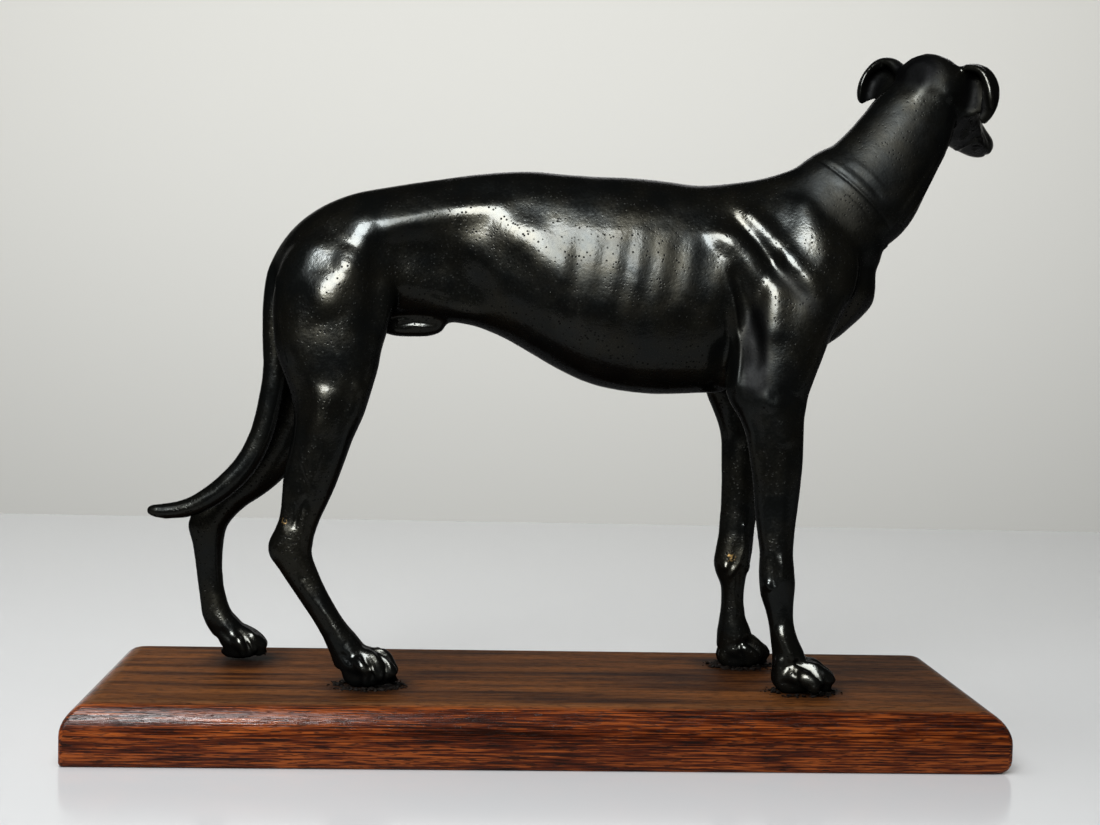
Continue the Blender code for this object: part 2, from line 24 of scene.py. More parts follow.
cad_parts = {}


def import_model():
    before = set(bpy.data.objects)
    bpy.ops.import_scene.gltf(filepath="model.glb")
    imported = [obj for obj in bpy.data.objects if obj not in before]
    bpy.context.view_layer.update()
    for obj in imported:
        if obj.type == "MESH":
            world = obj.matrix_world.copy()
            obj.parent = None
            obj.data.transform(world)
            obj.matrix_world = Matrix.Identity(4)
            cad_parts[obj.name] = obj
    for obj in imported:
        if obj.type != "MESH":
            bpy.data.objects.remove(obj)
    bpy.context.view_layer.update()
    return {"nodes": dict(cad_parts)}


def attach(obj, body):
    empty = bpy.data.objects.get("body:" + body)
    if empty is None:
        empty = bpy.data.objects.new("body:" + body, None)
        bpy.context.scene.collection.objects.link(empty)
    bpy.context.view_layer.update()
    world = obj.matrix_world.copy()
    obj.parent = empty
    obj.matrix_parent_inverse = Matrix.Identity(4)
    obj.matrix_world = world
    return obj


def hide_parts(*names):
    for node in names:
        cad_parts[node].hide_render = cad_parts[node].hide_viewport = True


LOG = logging.getLogger("greyhound")
MM = 0.001
PLINTH_TOP = 19.5
BODY = "root"
CASTING_NAME = "greyhound_casting"
BOARD_NAME = "plinth_board"
CRUMBS_NAME = "filler_crumbs"


# Small helpers


def srgb(code: str) -> tuple[float, float, float, float]:
    """Turns a hex colour into linear light.

    Args:
        code: The colour as six hex digits.

    Returns:
        Red, green, blue and alpha.
    """
    parts = [int(code[k : k + 2], 16) / 255 for k in (0, 2, 4)]
    linear = [p / 12.92 if p <= 0.04045 else ((p + 0.055) / 1.055) ** 2.4 for p in parts]
    return (*linear, 1.0)


def add_node(
    tree: bpy.types.NodeTree, kind: str, inputs: dict | tuple = (), stops: tuple = (), **settings: object
) -> bpy.types.bpy_prop_collection:
    """Adds one node with its settings and links.

    Args:
        tree: The tree that gets the node.
        kind: The node's type name, without "ShaderNode".
        inputs: A socket to link or a value to set for each input, in the node's own order, or by name or
            number where some are passed over.
        stops: Place and hex colour of each stop, for a node that holds a colour ramp.
        **settings: Attributes of the node itself.

    Returns:
        The new node's outputs.
    """
    node = tree.nodes.new("ShaderNode" + kind)
    for name, value in settings.items():
        setattr(node, name, value)
    for name, source in (inputs if isinstance(inputs, dict) else dict(enumerate(inputs))).items():
        if isinstance(source, bpy.types.NodeSocket):
            tree.links.new(source, node.inputs[name])
        else:
            node.inputs[name].default_value = source
    if stops:
        band = node.color_ramp.elements
        while len(band) < len(stops):
            band.new(1.0)
        for element, (place, code) in zip(band, stops):
            element.position = place
            element.color = srgb(code)
    return node.outputs


def new_material(name: str) -> tuple[bpy.types.Material, bpy.types.NodeTree, bpy.types.Node]:
    """Makes a material with only its shader in it.

    Args:
        name: What the real material is called.

    Returns:
        The material, its node tree and its Principled shader.
    """
    material = bpy.data.materials.new(name)
    material.use_nodes = True
    tree = material.node_tree
    return material, tree, tree.nodes["Principled BSDF"]


def pick(piece: bpy.types.Object) -> None:
    """Makes a piece the only one selected, and active.

    Args:
        piece: The piece.
    """
    bpy.ops.object.select_all(action="DESELECT")
    piece.select_set(True)
    bpy.context.view_layer.objects.active = piece


def apply_modifier(piece: bpy.types.Object, kind: str, **settings: object) -> None:
    """Puts a modifier on a piece, sets it and applies it.

    Args:
        piece: The piece.
        kind: The modifier's type.
        **settings: Attributes of the modifier.
    """
    pick(piece)
    modifier = piece.modifiers.new(kind.lower(), kind)
    for name, value in settings.items():
        setattr(modifier, name, value)
    bpy.ops.object.modifier_apply(modifier=modifier.name)


def smoothstep(low: float, high: float, values: np.ndarray) -> np.ndarray:
    """A soft step from 0 at low to 1 at high."""
    t = np.clip((values - low) / (high - low), 0, 1)
    return t * t * (3 - 2 * t)


def near(points: np.ndarray, middle: tuple[float, float, float], reach: float) -> np.ndarray:
    """A soft round spot: 1 at its middle, about a third at its reach."""
    return np.exp(-((np.linalg.norm(points - np.array(middle), axis=1) / reach) ** 2))


# Finishes


@dataclass(frozen=True)
class PatinatedBronze:
    """Cast bronze under a black patina, waxed: near black and glossy, with a soft broad sheen and fine pits.

    A pair of values is the stretch of a pattern over which something sets in.

    Attributes:
        deep: The patina's darker shade.
        warm: Its browner shade, which lies over the other in clouds.
        soot_and_shade_colour: Its colour in pits and hollows, which no cloth reaches, and of the painted
            shade laid over broad marks.
        rubbed: The bare metal where the patina is worn through.
        edge: The tint of light that grazes it.
        metallic: How far it reflects as metal.
        roughness: Where it is most and least polished.
        sooty_rough: What pits and hollows add to that.
        wax: Weight of the wax over it.
        wax_gone: How much soot and painted shade a place has when no wax is left on it.
        wax_roughness: Roughness of the wax.
        swell_mm: Size of the casting's broad unevenness.
        cloud_mm: Size of the patina's clouds.
        fleck_mm: Size of the dabs that the patina went on in.
        grain_mm: Grain of the mould, which is finer and is drawn as coarse as it needs to show.
        pit_mm: How far apart pits lie where each place has one.
        clouds: Where the warm shade sets in.
        pitted: Where the pitted patches set in.
        pit_chosen: Which places have a pit.
        pit_wall: The wall of a pit.
        worn: Where the polish wears off.
        worn_grain: How much the grain adds to that wear.
        bare: Where the metal shows.
        bare_grain: How much the grain adds to that.
        bare_most: How clean the bare metal is.
        relief_mm: Heights of swell, grain, flecks and pits.
    """

    deep: str = "121312"
    warm: str = "161511"
    soot_and_shade_colour: str = "040404"
    rubbed: str = "8A6E42"
    edge: str = "6A6A68"
    metallic: float = 0.95
    roughness: tuple[float, float] = (0.18, 0.30)
    sooty_rough: float = 0.35
    wax: float = 0.08
    wax_gone: float = 0.4
    wax_roughness: float = 0.12
    swell_mm: float = 9.0
    cloud_mm: float = 18.18
    fleck_mm: float = 2.6
    grain_mm: float = 0.9
    pit_mm: float = 1.25
    clouds: tuple[float, float] = (0.38, 0.62)
    pitted: tuple[float, float] = (0.38, 0.53)
    pit_chosen: tuple[float, float] = (0.40, 0.55)
    pit_wall: tuple[float, float] = (0.18, 0.34)
    worn: tuple[float, float] = (0.58, 0.92)
    worn_grain: float = 0.5
    bare: tuple[float, float] = (0.85, 1.1)
    bare_grain: float = 0.9
    bare_most: float = 0.8
    relief_mm: tuple[float, float, float, float] = (0.20, 0.04, 0.045, -0.04)

    def build(self) -> bpy.types.Material:
        """Builds the material."""
        material, tree, shader = new_material("black patinated bronze")
        place = add_node(tree, "TexCoord")["Object"]
        noises = []
        for size, detail, uneven in (
            (self.swell_mm, 3.0, 0.5),
            (self.cloud_mm, 4.0, 0.6),
            (self.grain_mm, 2.0, 0.5),
            (self.fleck_mm, 2.0, 0.5),
        ):
            values = {"Vector": place, "Scale": 1 / (size * MM), "Detail": detail, "Roughness": uneven}
            noises.append(add_node(tree, "TexNoise", values)["Fac"])
        swell, cloud, grain, fleck = noises

        cells = add_node(tree, "TexVoronoi", {"Vector": place, "Scale": 1 / (self.pit_mm * MM)})
        pit = add_node(tree, "MapRange", (cells["Distance"], *self.pit_wall, 1.0, 0.0))["Result"]
        chosen = add_node(tree, "MapRange", (cells["Color"], *self.pit_chosen))["Result"]
        patch = add_node(tree, "MapRange", (cloud, *self.pitted))["Result"]
        for share in (chosen, patch):
            pit = add_node(tree, "Math", (pit, share), operation="MULTIPLY")["Value"]
        # Soot in pits and hollows, and painted shade laid over broad marks of the skin, as the casting stored
        # them.
        soot_and_shade = add_node(tree, "Attribute", attribute_name="soot_and_shade")["Fac"]
        pits_soot_and_shade = add_node(tree, "Math", (pit, soot_and_shade), operation="MAXIMUM")["Value"]

        browner = add_node(tree, "MapRange", (cloud, *self.clouds))["Result"]
        rub = add_node(tree, "Attribute", attribute_name="rub")["Fac"]
        rub = add_node(tree, "Math", (grain, self.bare_grain, rub), operation="MULTIPLY_ADD")["Value"]
        bare = add_node(tree, "MapRange", (rub, *self.bare, 0.0, self.bare_most))["Result"]
        # The last layer paints soot into pits and hollows and painted shade over the broad marks.
        colour = srgb(self.deep)
        for share, over in ((browner, self.warm), (bare, self.rubbed), (pits_soot_and_shade, self.soot_and_shade_colour)):
            colour = add_node(tree, "Mix", {0: share, 6: colour, 7: srgb(over)}, data_type="RGBA")[2]
        tree.links.new(colour, shader.inputs["Base Color"])

        worn = add_node(tree, "Math", (grain, self.worn_grain, swell), operation="MULTIPLY_ADD")["Value"]
        rough = add_node(tree, "MapRange", (worn, *self.worn, *self.roughness))["Result"]
        sooted = (pits_soot_and_shade, self.sooty_rough, rough)
        rough = add_node(tree, "Math", sooted, operation="MULTIPLY_ADD")["Value"]
        tree.links.new(rough, shader.inputs["Roughness"])
        wax = add_node(tree, "MapRange", (pits_soot_and_shade, 0.0, self.wax_gone, self.wax, 0.0))["Result"]
        tree.links.new(wax, shader.inputs["Coat Weight"])

        height = 0.0
        for pattern, rise in zip((swell, grain, fleck, pit), self.relief_mm):
            height = add_node(tree, "Math", (pattern, rise, height), operation="MULTIPLY_ADD")["Value"]
        bump = add_node(tree, "Bump", {"Height": height, "Strength": 1.0, "Distance": MM})["Normal"]
        for name in ("Normal", "Coat Normal"):
            tree.links.new(bump, shader.inputs[name])
        shader.inputs["Metallic"].default_value = self.metallic
        shader.inputs["Specular Tint"].default_value = srgb(self.edge)
        shader.inputs["Coat Roughness"].default_value = self.wax_roughness
        return material


@dataclass(frozen=True)
class Streak:
    """One grain pattern of the wood: a noise drawn out along the board, which is X.

    Attributes:
        along_mm: How long its marks are.
        across_mm: How wide they are.
        detail: How many finer layers it has.
        shift: Moves it clear of the other patterns.
        slant: How far it climbs along the board, as an angle.
    """

    along_mm: float
    across_mm: float
    detail: float
    shift: tuple[float, float, float]
    slant: float

    def build(self, tree: bpy.types.NodeTree, place: bpy.types.NodeSocket) -> bpy.types.NodeSocket:
        """Builds the pattern.

        Args:
            tree: The wood's node tree.
            place: The socket that gives the place on the board.

        Returns:
            The socket of its value.
        """
        across = 1 / (self.across_mm * MM)
        drawn = {
            "Vector": place,
            "Location": self.shift,
            "Rotation": (0.0, self.slant, 0.0),
            "Scale": (1 / (self.along_mm * MM), across, across),
        }
        where = add_node(tree, "Mapping", drawn)["Vector"]
        return add_node(tree, "TexNoise", {"Vector": where, "Scale": 1.0, "Detail": self.detail})["Fac"]


@dataclass(frozen=True)
class OiledHardwood:
    """Mahogany, planed and oiled: red-brown and striped on its edges, browner and duller on top.

    A pair of values is the stretch of a pattern, or of the face's lean, over which something sets in. A
    face leans 1 where it is level and 0 where it is upright.

    Attributes:
        side: The edges' colours along their pattern.
        top: The top's colours along its own.
        pore: Inside of a pore.
        painted_rim_highlight: Colour of the painted highlight along the top's rim.
        paw_shade_and_soot: Colour of the painted shadow round the paws, partly dirt.
        ribbon: The broad stripes.
        fibre: The fibres, which are finer and are drawn as coarse as they need to show.
        pores: The short dark pores.
        side_fibre: How much of the edges' pattern is fibre, the rest being ribbon.
        top_fibre: The same for the top.
        top_skin_mm: How far under the top's face its own colour sets in.
        rim: The lean at which the painted rim highlight sets in.
        rim_end: The lean at which it ends.
        rim_most: How strong the painted rim highlight gets.
        paw_shadows_and_dirt: Middle and reach of the painted shadow and dirt round each paw, in millimetres.
        paw_shadow_fade_mm: How far inside and outside its reach the painted shadow fades.
        paw_shadow_ragged_mm: How far the fibre draws its edge out.
        paw_shadow_most: How dark the painted shadow gets.
        porous: Where a pore sets in.
        pore_most: How dark a pore is.
        fibre_span: The fibre's values from its dark to its light.
        roughness: Roughness over the same.
        top_rough: What the worn top adds to it.
        turned: The lean at which the routed round's band of oil sets in.
        turned_end: The lean at which it ends.
        side_oil: Weight of the oil on the edges.
        round_oil: Weight of the oil on the round, which is polished most.
        oil_roughness: Roughness of the oil.
        specular: How much light the wood itself throws back.
        ior: Refraction of the oiled wood.
        relief_mm: Heights of fibre and pores.
    """

    side: tuple[tuple[float, str], ...] = ((0.40, "240B02"), (0.5, "5A230B"), (0.61, "AA5622"))
    top: tuple[tuple[float, str], ...] = ((0.38, "2A1105"), (0.62, "855024"))
    pore: str = "1C0C05"
    painted_rim_highlight: str = "7C5A3C"
    paw_shade_and_soot: str = "140A05"
    ribbon: Streak = Streak(80.0, 6.0, 3.0, (2.0, 0.74, 1.42), 0.03)
    fibre: Streak = Streak(17.0, 0.5, 4.0, (5.0, 1.85, 3.55), 0.025)
    pores: Streak = Streak(4.5, 0.34, 1.0, (9.0, 3.33, 6.39), 0.04)
    side_fibre: float = 0.64
    top_fibre: float = 0.45
    top_skin_mm: tuple[float, float] = (1.2, 0.05)
    rim: tuple[float, float] = (0.93, 0.985)
    rim_end: tuple[float, float] = (0.99, 0.9999)
    rim_most: float = 0.4
    paw_shadows_and_dirt: tuple[tuple[float, float, float], ...] = (
        (-58.0, -18.0, 17.0), (90.0, -20.5, 15.0), (73.0, 20.0, 17.0), (-103.0, 18.0, 17.0),
    )
    paw_shadow_fade_mm: tuple[float, float] = (6.0, 5.0)
    paw_shadow_ragged_mm: float = 6.0
    paw_shadow_most: float = 0.9
    porous: tuple[float, float] = (0.58, 0.64)
    pore_most: float = 0.75
    fibre_span: tuple[float, float] = (0.3, 0.7)
    roughness: tuple[float, float] = (0.42, 0.52)
    top_rough: float = 0.2
    turned: tuple[float, float] = (0.3, 0.6)
    turned_end: tuple[float, float] = (0.85, 0.97)
    side_oil: float = 0.12
    round_oil: float = 0.75
    oil_roughness: float = 0.11
    specular: float = 0.08
    ior: float = 1.5
    relief_mm: tuple[float, float] = (0.12, -0.10)

    def build(self) -> bpy.types.Material:
        """Builds the material."""
        material, tree, shader = new_material("oiled mahogany")
        place = add_node(tree, "TexCoord")["Object"]
        level = add_node(tree, "SeparateXYZ", {"Vector": place})["Z"]
        normal = add_node(tree, "NewGeometry")["Normal"]
        lean = add_node(tree, "SeparateXYZ", {"Vector": normal})["Z"]
        ribbon, fibre, pores = (streak.build(tree, place) for streak in (self.ribbon, self.fibre, self.pores))

        side = add_node(tree, "Mix", {0: self.side_fibre, 2: ribbon, 3: fibre})[0]
        side = add_node(tree, "ValToRGB", (side,), self.side)["Color"]
        top = add_node(tree, "Mix", {0: self.top_fibre, 2: ribbon, 3: fibre})[0]
        top = add_node(tree, "ValToRGB", (top,), self.top)["Color"]
        skin = [(PLINTH_TOP - under) * MM for under in self.top_skin_mm]
        upper = add_node(tree, "MapRange", (level, *skin))["Result"]
        colour = add_node(tree, "Mix", {0: upper, 6: side, 7: top}, data_type="RGBA")[2]

        # A pale band where the flat top meets the routed round: a painted highlight.
        rim = add_node(tree, "MapRange", (lean, *self.rim))["Result"]
        rim_end = add_node(tree, "MapRange", (lean, *self.rim_end, self.rim_most, 0.0))["Result"]
        layers = [(add_node(tree, "Math", (rim, rim_end), operation="MULTIPLY")["Value"], self.painted_rim_highlight)]
        # A darker patch round each paw on the top: a painted shadow, partly dirt.
        inside, outside = self.paw_shadow_fade_mm
        for x, y, reach in self.paw_shadows_and_dirt:
            middle = (x * MM, y * MM, PLINTH_TOP * MM)
            away = add_node(tree, "VectorMath", (place, middle), operation="DISTANCE")["Value"]
            ragged = (fibre, self.paw_shadow_ragged_mm * MM, away)
            away = add_node(tree, "Math", ragged, operation="MULTIPLY_ADD")["Value"]
            fade = ((reach - inside) * MM, (reach + outside) * MM, self.paw_shadow_most, 0.0)
            paw_shadow = add_node(tree, "MapRange", (away, *fade))["Result"]
            layers.append((add_node(tree, "Math", (paw_shadow, upper), operation="MULTIPLY")["Value"], self.paw_shade_and_soot))
        dash = add_node(tree, "MapRange", (pores, *self.porous))["Result"]
        pore = add_node(tree, "Math", (dash, self.pore_most), operation="MULTIPLY")["Value"]
        layers.append((pore, self.pore))
        for share, over in layers:
            colour = add_node(tree, "Mix", {0: share, 6: colour, 7: srgb(over)}, data_type="RGBA")[2]
        tree.links.new(colour, shader.inputs["Base Color"])

        rough = add_node(tree, "MapRange", (fibre, *self.fibre_span, *self.roughness))["Result"]
        rough = add_node(tree, "Math", (upper, self.top_rough, rough), operation="MULTIPLY_ADD")["Value"]
        tree.links.new(rough, shader.inputs["Roughness"])
        turned = add_node(tree, "MapRange", (lean, *self.turned))["Result"]
        turned_end = add_node(tree, "MapRange", (lean, *self.turned_end, self.round_oil, 0.0))["Result"]
        oil = add_node(tree, "MapRange", (upper, 0.0, 1.0, self.side_oil, 0.0))["Result"]
        oil = add_node(tree, "Math", (turned, turned_end, oil), operation="MULTIPLY_ADD")["Value"]
        tree.links.new(oil, shader.inputs["Coat Weight"])

        height = 0.0
        for pattern, rise in zip((fibre, dash), self.relief_mm):
            height = add_node(tree, "Math", (pattern, rise, height), operation="MULTIPLY_ADD")["Value"]
        bump = add_node(tree, "Bump", {"Height": height, "Strength": 1.0, "Distance": MM})["Normal"]
        for name in ("Normal", "Coat Normal"):
            tree.links.new(bump, shader.inputs[name])
        shader.inputs["Coat Roughness"].default_value = self.oil_roughness
        shader.inputs["Specular IOR Level"].default_value = self.specular
        shader.inputs["IOR"].default_value = self.ior
        return material


@dataclass(frozen=True)
class OldFiller:
    """Pitch and dust set hard where the paws meet the board: matt, almost black and gritty.

    Attributes:
        grit: Its colours, from pitch to dust.
        grit_mm: Size of the grit.
        relief_mm: Height of the grit.
        relief_strength: How sharply it shows.
        roughness: Its roughness.
        specular: How much light it throws back.
    """

    grit: tuple[tuple[float, str], ...] = ((0.45, "0A0705"), (0.8, "291E15"))
    grit_mm: float = 0.5556
    relief_mm: float = 0.3
    relief_strength: float = 0.6
    roughness: float = 0.7
    specular: float = 0.2

    def build(self) -> bpy.types.Material:
        """Builds the material."""
        material, tree, shader = new_material("old filler")
        place = add_node(tree, "TexCoord")["Object"]
        scale = 1 / (self.grit_mm * MM)
        grit = add_node(tree, "TexNoise", {"Vector": place, "Scale": scale, "Detail": 2.0})["Fac"]
        colour = add_node(tree, "ValToRGB", (grit,), self.grit)["Color"]
        relief = {"Height": grit, "Strength": self.relief_strength, "Distance": self.relief_mm * MM}
        bump = add_node(tree, "Bump", relief)["Normal"]
        tree.links.new(colour, shader.inputs["Base Color"])
        tree.links.new(bump, shader.inputs["Normal"])
        shader.inputs["Roughness"].default_value = self.roughness
        shader.inputs["Specular IOR Level"].default_value = self.specular
        return material


@dataclass(frozen=True)
class PlainSurface:
    """A plain painted or laminated surface of the studio.

    Attributes:
        name: What the real material is called.
        colour: Its colour as hex.
        roughness: Its roughness.
        specular: How much light it throws back.
    """

    name: str
    colour: str
    roughness: float
    specular: float = 0.5

    def build(self) -> bpy.types.Material:
        """Builds the material."""
        material, _, shader = new_material(self.name)
        shader.inputs["Base Color"].default_value = srgb(self.colour)
        shader.inputs["Roughness"].default_value = self.roughness
        shader.inputs["Specular IOR Level"].default_value = self.specular
        return material


# The casting


class Side(Enum):
    """Which flank a line of carving lies on: the dog's right, its left, or both."""

    RIGHT = -1
    LEFT = 1
    BOTH = 0


@dataclass(frozen=True)
class Stroke:
    """One line of carving, drawn in side view.

    Attributes:
        line: Forward and up of its points, in millimetres.
        reach: Half width of the mark.
        height: How far it stands proud, or is cut in if negative.
        side: The flank it lies on.
        steps: How many straight runs are drawn between two points.
        fade_share: The share of its length over which each end fades.
        fade_power: How suddenly it does.
    """

    line: tuple[tuple[float, float], ...]
    reach: float
    height: float
    side: Side = Side.BOTH
    steps: int = 5
    fade_share: float = 0.25
    fade_power: float = 0.6

    def curve(self) -> np.ndarray:
        """Draws the line as a smooth curve through its points.

        Returns:
            Forward and up of the curve's corners.
        """
        ends = np.array(self.line)
        held = np.vstack((2 * ends[0] - ends[1], ends, 2 * ends[-1] - ends[-2]))
        points = []
        for a, b, c, d in zip(held, held[1:], held[2:], held[3:]):
            bend = 2 * a - 5 * b + 4 * c - d
            twist = 3 * b - a - 3 * c + d
            for t in np.linspace(0, 1, self.steps, endpoint=False):
                points.append(0.5 * (2 * b + (c - a) * t + bend * t**2 + twist * t**3))
        return np.vstack((points, ends[-1]))

    def lift(self, flat: np.ndarray) -> np.ndarray:
        """Works out the mark's height.

        Args:
            flat: Forward and up of each point.

        Returns:
            The height at each point, which fades towards the line's ends.
        """
        best = np.full(len(flat), np.inf)
        share = np.zeros(len(flat))
        corners = self.curve()
        runs = np.linalg.norm(np.diff(corners, axis=0), axis=1)
        start = 0.0
        for here, there, run in zip(corners, corners[1:], runs):
            way = (there - here) / run
            along = np.clip((flat - here) @ way, 0, run)
            away = np.linalg.norm(flat - here - along[:, None] * way, axis=1)
            nearer = away < best
            best[nearer] = away[nearer]
            share[nearer] = (start + along[nearer]) / runs.sum()
            start += run
        fade = np.clip(np.minimum(share, 1 - share) / self.fade_share, 0.0, 1.0) ** self.fade_power
        return self.height * np.exp(-((best / self.reach) ** 2)) * fade


RIBS = tuple(
    Stroke(((x + 2.4, 152.0), (x + 0.8, 141.0), (x - 2.6, 124.0)), 2.6, height)
    for x, height in ((3.3, 0.22), (12.2, 0.22), (20.3, 0.24), (27.6, 0.22), (35.4, 0.18), (45.2, 0.14))
)
SHOULDER = (
    Stroke(((54.0, 151.5), (59.0, 152.2), (63.2, 147.2), (67.8, 140.0), (71.5, 131.5)), 5.0, 1.15),
    Stroke(((65.0, 161.5), (70.5, 156.0), (77.0, 148.0), (82.5, 141.0)), 3.6, 0.66),
    Stroke(((61.5, 160.5), (67.0, 153.5), (73.5, 145.0), (78.5, 137.0)), 2.3, -0.42),
    Stroke(((62.5, 142.0), (65.5, 133.0), (68.5, 122.0), (70.0, 110.0)), 2.2, -0.95),
    Stroke(((57.5, 142.0), (60.0, 124.0), (58.8, 99.0)), 1.8, -0.80),
    Stroke(((72.0, 134.0), (75.0, 126.0)), 5.5, 0.25),
    Stroke(((86.5, 168.0), (91.0, 150.0), (89.5, 132.0)), 4.5, -0.45),
    Stroke(((92.0, 177.0), (97.0, 168.0), (101.0, 156.0)), 5.5, -0.70),
    Stroke(((64.5, 124.0), (67.0, 114.0), (68.0, 104.0)), 5.0, -0.70),
    Stroke(((72.5, 103.0), (73.6, 97.5), (78.5, 98.5)), 1.7, 0.60),
    Stroke(((77.0, 102.0), (86.0, 98.5)), 1.3, -0.35),
    Stroke(((67.5, 97.0), (70.5, 89.0), (72.0, 80.0)), 1.4, -0.50),
    Stroke(((101.0, 132.0), (97.5, 124.0), (94.5, 116.0)), 1.5, -0.8),
)
HAUNCH = (
    Stroke(((-56.0, 151.5), (-42.0, 156.2), (-30.0, 159.6), (-14.0, 161.5)), 4.4, 0.55),
    Stroke(((-65.4, 142.0), (-67.0, 137.5)), 3.6, 0.34),
    Stroke(((-76.5, 138.0), (-76.0, 130.0), (-73.0, 122.0)), 7.0, 0.70),
    Stroke(((-61.5, 146.2), (-68.0, 147.6), (-71.2, 143.0), (-71.4, 135.0)), 2.2, -0.30),
    Stroke(((-58.0, 138.0), (-51.0, 146.0), (-38.0, 149.0), (-27.0, 145.5)), 7.0, -0.75),
    Stroke(((-55.0, 140.0), (-58.0, 128.0), (-59.5, 116.0)), 4.5, -0.65),
    Stroke(((-14.0, 154.5), (-6.0, 148.0), (-1.0, 138.0)), 7.0, 0.30),
    Stroke(((-72.0, 100.0), (-73.5, 92.0), (-75.5, 84.0)), 3.6, 0.62),
    Stroke(((-64.0, 106.0), (-67.0, 92.0), (-71.0, 76.0)), 2.0, -0.45),
    Stroke(((-81.0, 104.0), (-80.0, 92.0), (-81.5, 80.0)), 2.0, -0.45),
    Stroke(((-61.5, 101.5), (-62.5, 97.5)), 2.2, 0.40),
)
LIMBS = (
    Stroke(((74.5, 76.0), (76.5, 60.0), (77.5, 46.0)), 1.3, -0.35),
    Stroke(((79.5, 88.0), (80.2, 66.0), (79.5, 50.0)), 1.6, 0.35),
)
FINE_LINES = (
    Stroke(((88.0, 184.0), (91.2, 180.9), (101.8, 172.1), (110.7, 163.9), (117.5, 156.5)), 0.55, -0.42),
    Stroke(((90.0, 185.0), (93.2, 182.0), (103.2, 173.4), (112.0, 165.2)), 0.8, 0.14),
    Stroke(((101.5, 181.0), (108.0, 175.5), (114.5, 168.5)), 0.8, 0.16),
    Stroke(((100.5, 178.5), (107.0, 172.8), (113.0, 166.5)), 0.8, -0.20),
    Stroke(((96.5, 172.0), (102.5, 166.8), (108.5, 161.0)), 0.5, -0.14),
    Stroke(((98.5, 171.0), (104.0, 165.8), (109.0, 160.0)), 0.5, -0.10),
    Stroke(((135.8, 184.9), (128.0, 174.0), (121.0, 164.0), (114.6, 154.5)), 0.8, 0.30),
    Stroke(((133.0, 184.0), (125.5, 173.0), (118.0, 163.0)), 1.3, -0.30),
    Stroke(((60.5, 136.0), (62.5, 127.0), (64.2, 116.0), (62.8, 101.5)), 0.75, 0.50),
    Stroke(((58.6, 131.0), (60.6, 118.0), (60.2, 103.0)), 0.8, -0.50),
    Stroke(((-81.2, 79.0), (-79.6, 73.0), (-77.5, 68.0), (-77.2, 62.0)), 0.6, 0.28),
    Stroke(((-74.2, 79.0), (-75.4, 73.0), (-77.0, 69.0)), 0.6, 0.30),
    Stroke(((-79.5, 64.0), (-81.8, 58.0), (-83.0, 52.5)), 0.9, -0.70),
    Stroke(((-86.3, 60.0), (-86.6, 55.0), (-86.0, 50.5)), 1.2, 0.30),
    Stroke(((-79.2, 59.5), (-80.0, 54.0), (-79.6, 49.0)), 1.0, 0.32),
    Stroke(((76.6, 47.0), (77.2, 41.0), (78.0, 36.0)), 1.1, -0.55),
    Stroke(((80.2, 47.0), (80.4, 40.0), (80.2, 35.0)), 1.3, 0.60),
)
# The same kind of mark on one side of one leg only
NEAR_LIMBS = (
    Stroke(((79.8, 22.5), (82.0, 16.5), (85.0, 10.5)), 2.0, 0.80, Side.RIGHT),
    Stroke(((75.8, 38.0), (76.6, 34.5)), 1.1, 0.50, Side.RIGHT),
    Stroke(((-79.6, 36.0), (-76.2, 30.0), (-71.0, 23.6), (-65.5, 15.0)), 1.7, 0.60, Side.RIGHT),
    Stroke(((-82.5, 42.0), (-77.5, 33.0), (-72.5, 25.0)), 1.1, -0.32, Side.RIGHT),
)


HEAD_MIDDLE = Vector((133.0, 5.0, 205.6))


def head_axes() -> tuple[Vector, Vector, Vector]:
    """Works out how the head is turned, as the solid has it.

    Returns:
        Its forward, left and up directions.
    """
    turn, nod, tilt = (math.radians(angle) for angle in (48.0, 15.0, 9.0))
    forward = Vector((math.cos(turn) * math.cos(nod), math.sin(turn) * math.cos(nod), -math.sin(nod)))
    level = Vector((-math.sin(turn), math.cos(turn), 0))
    left = level * math.cos(tilt) + forward.cross(level) * math.sin(tilt)
    return forward, left, forward.cross(left)


def in_head(forward_by: float, left_by: float, up_by: float) -> tuple[float, float, float]:
    """A point of the head's own frame as a point of the figure."""
    forward, left, up = head_axes()
    return tuple(HEAD_MIDDLE + forward * forward_by + left * left_by + up * up_by)


@dataclass(frozen=True)
class Mark:
    """A dent, bump or short line anywhere on the skin.

    Attributes:
        line: Its points, in millimetres; one point makes a round mark.
        reach: Its half width.
        height: How far it stands proud, or is cut in if negative.
        soot_and_shade: How matt and dark the patina is there, from soot in hollows and from painted shade on
            broad marks.
    """

    line: tuple[tuple[float, float, float], ...]
    reach: float
    height: float
    soot_and_shade: float = 0.0

    def share(self, points: np.ndarray) -> np.ndarray:
        """Works out how strongly each point feels the mark.

        Args:
            points: Forward, left and up of each point.

        Returns:
            1 on the line and less with the distance from it.
        """
        line = [np.array(p) for p in self.line]
        best = np.linalg.norm(points - line[0], axis=1)
        for here, there in zip(line, line[1:]):
            run = there - here
            along = np.clip((points - here) @ run / (run @ run), 0, 1)
            best = np.minimum(best, np.linalg.norm(points - here - along[:, None] * run, axis=1))
        return np.exp(-((best / self.reach) ** 2))


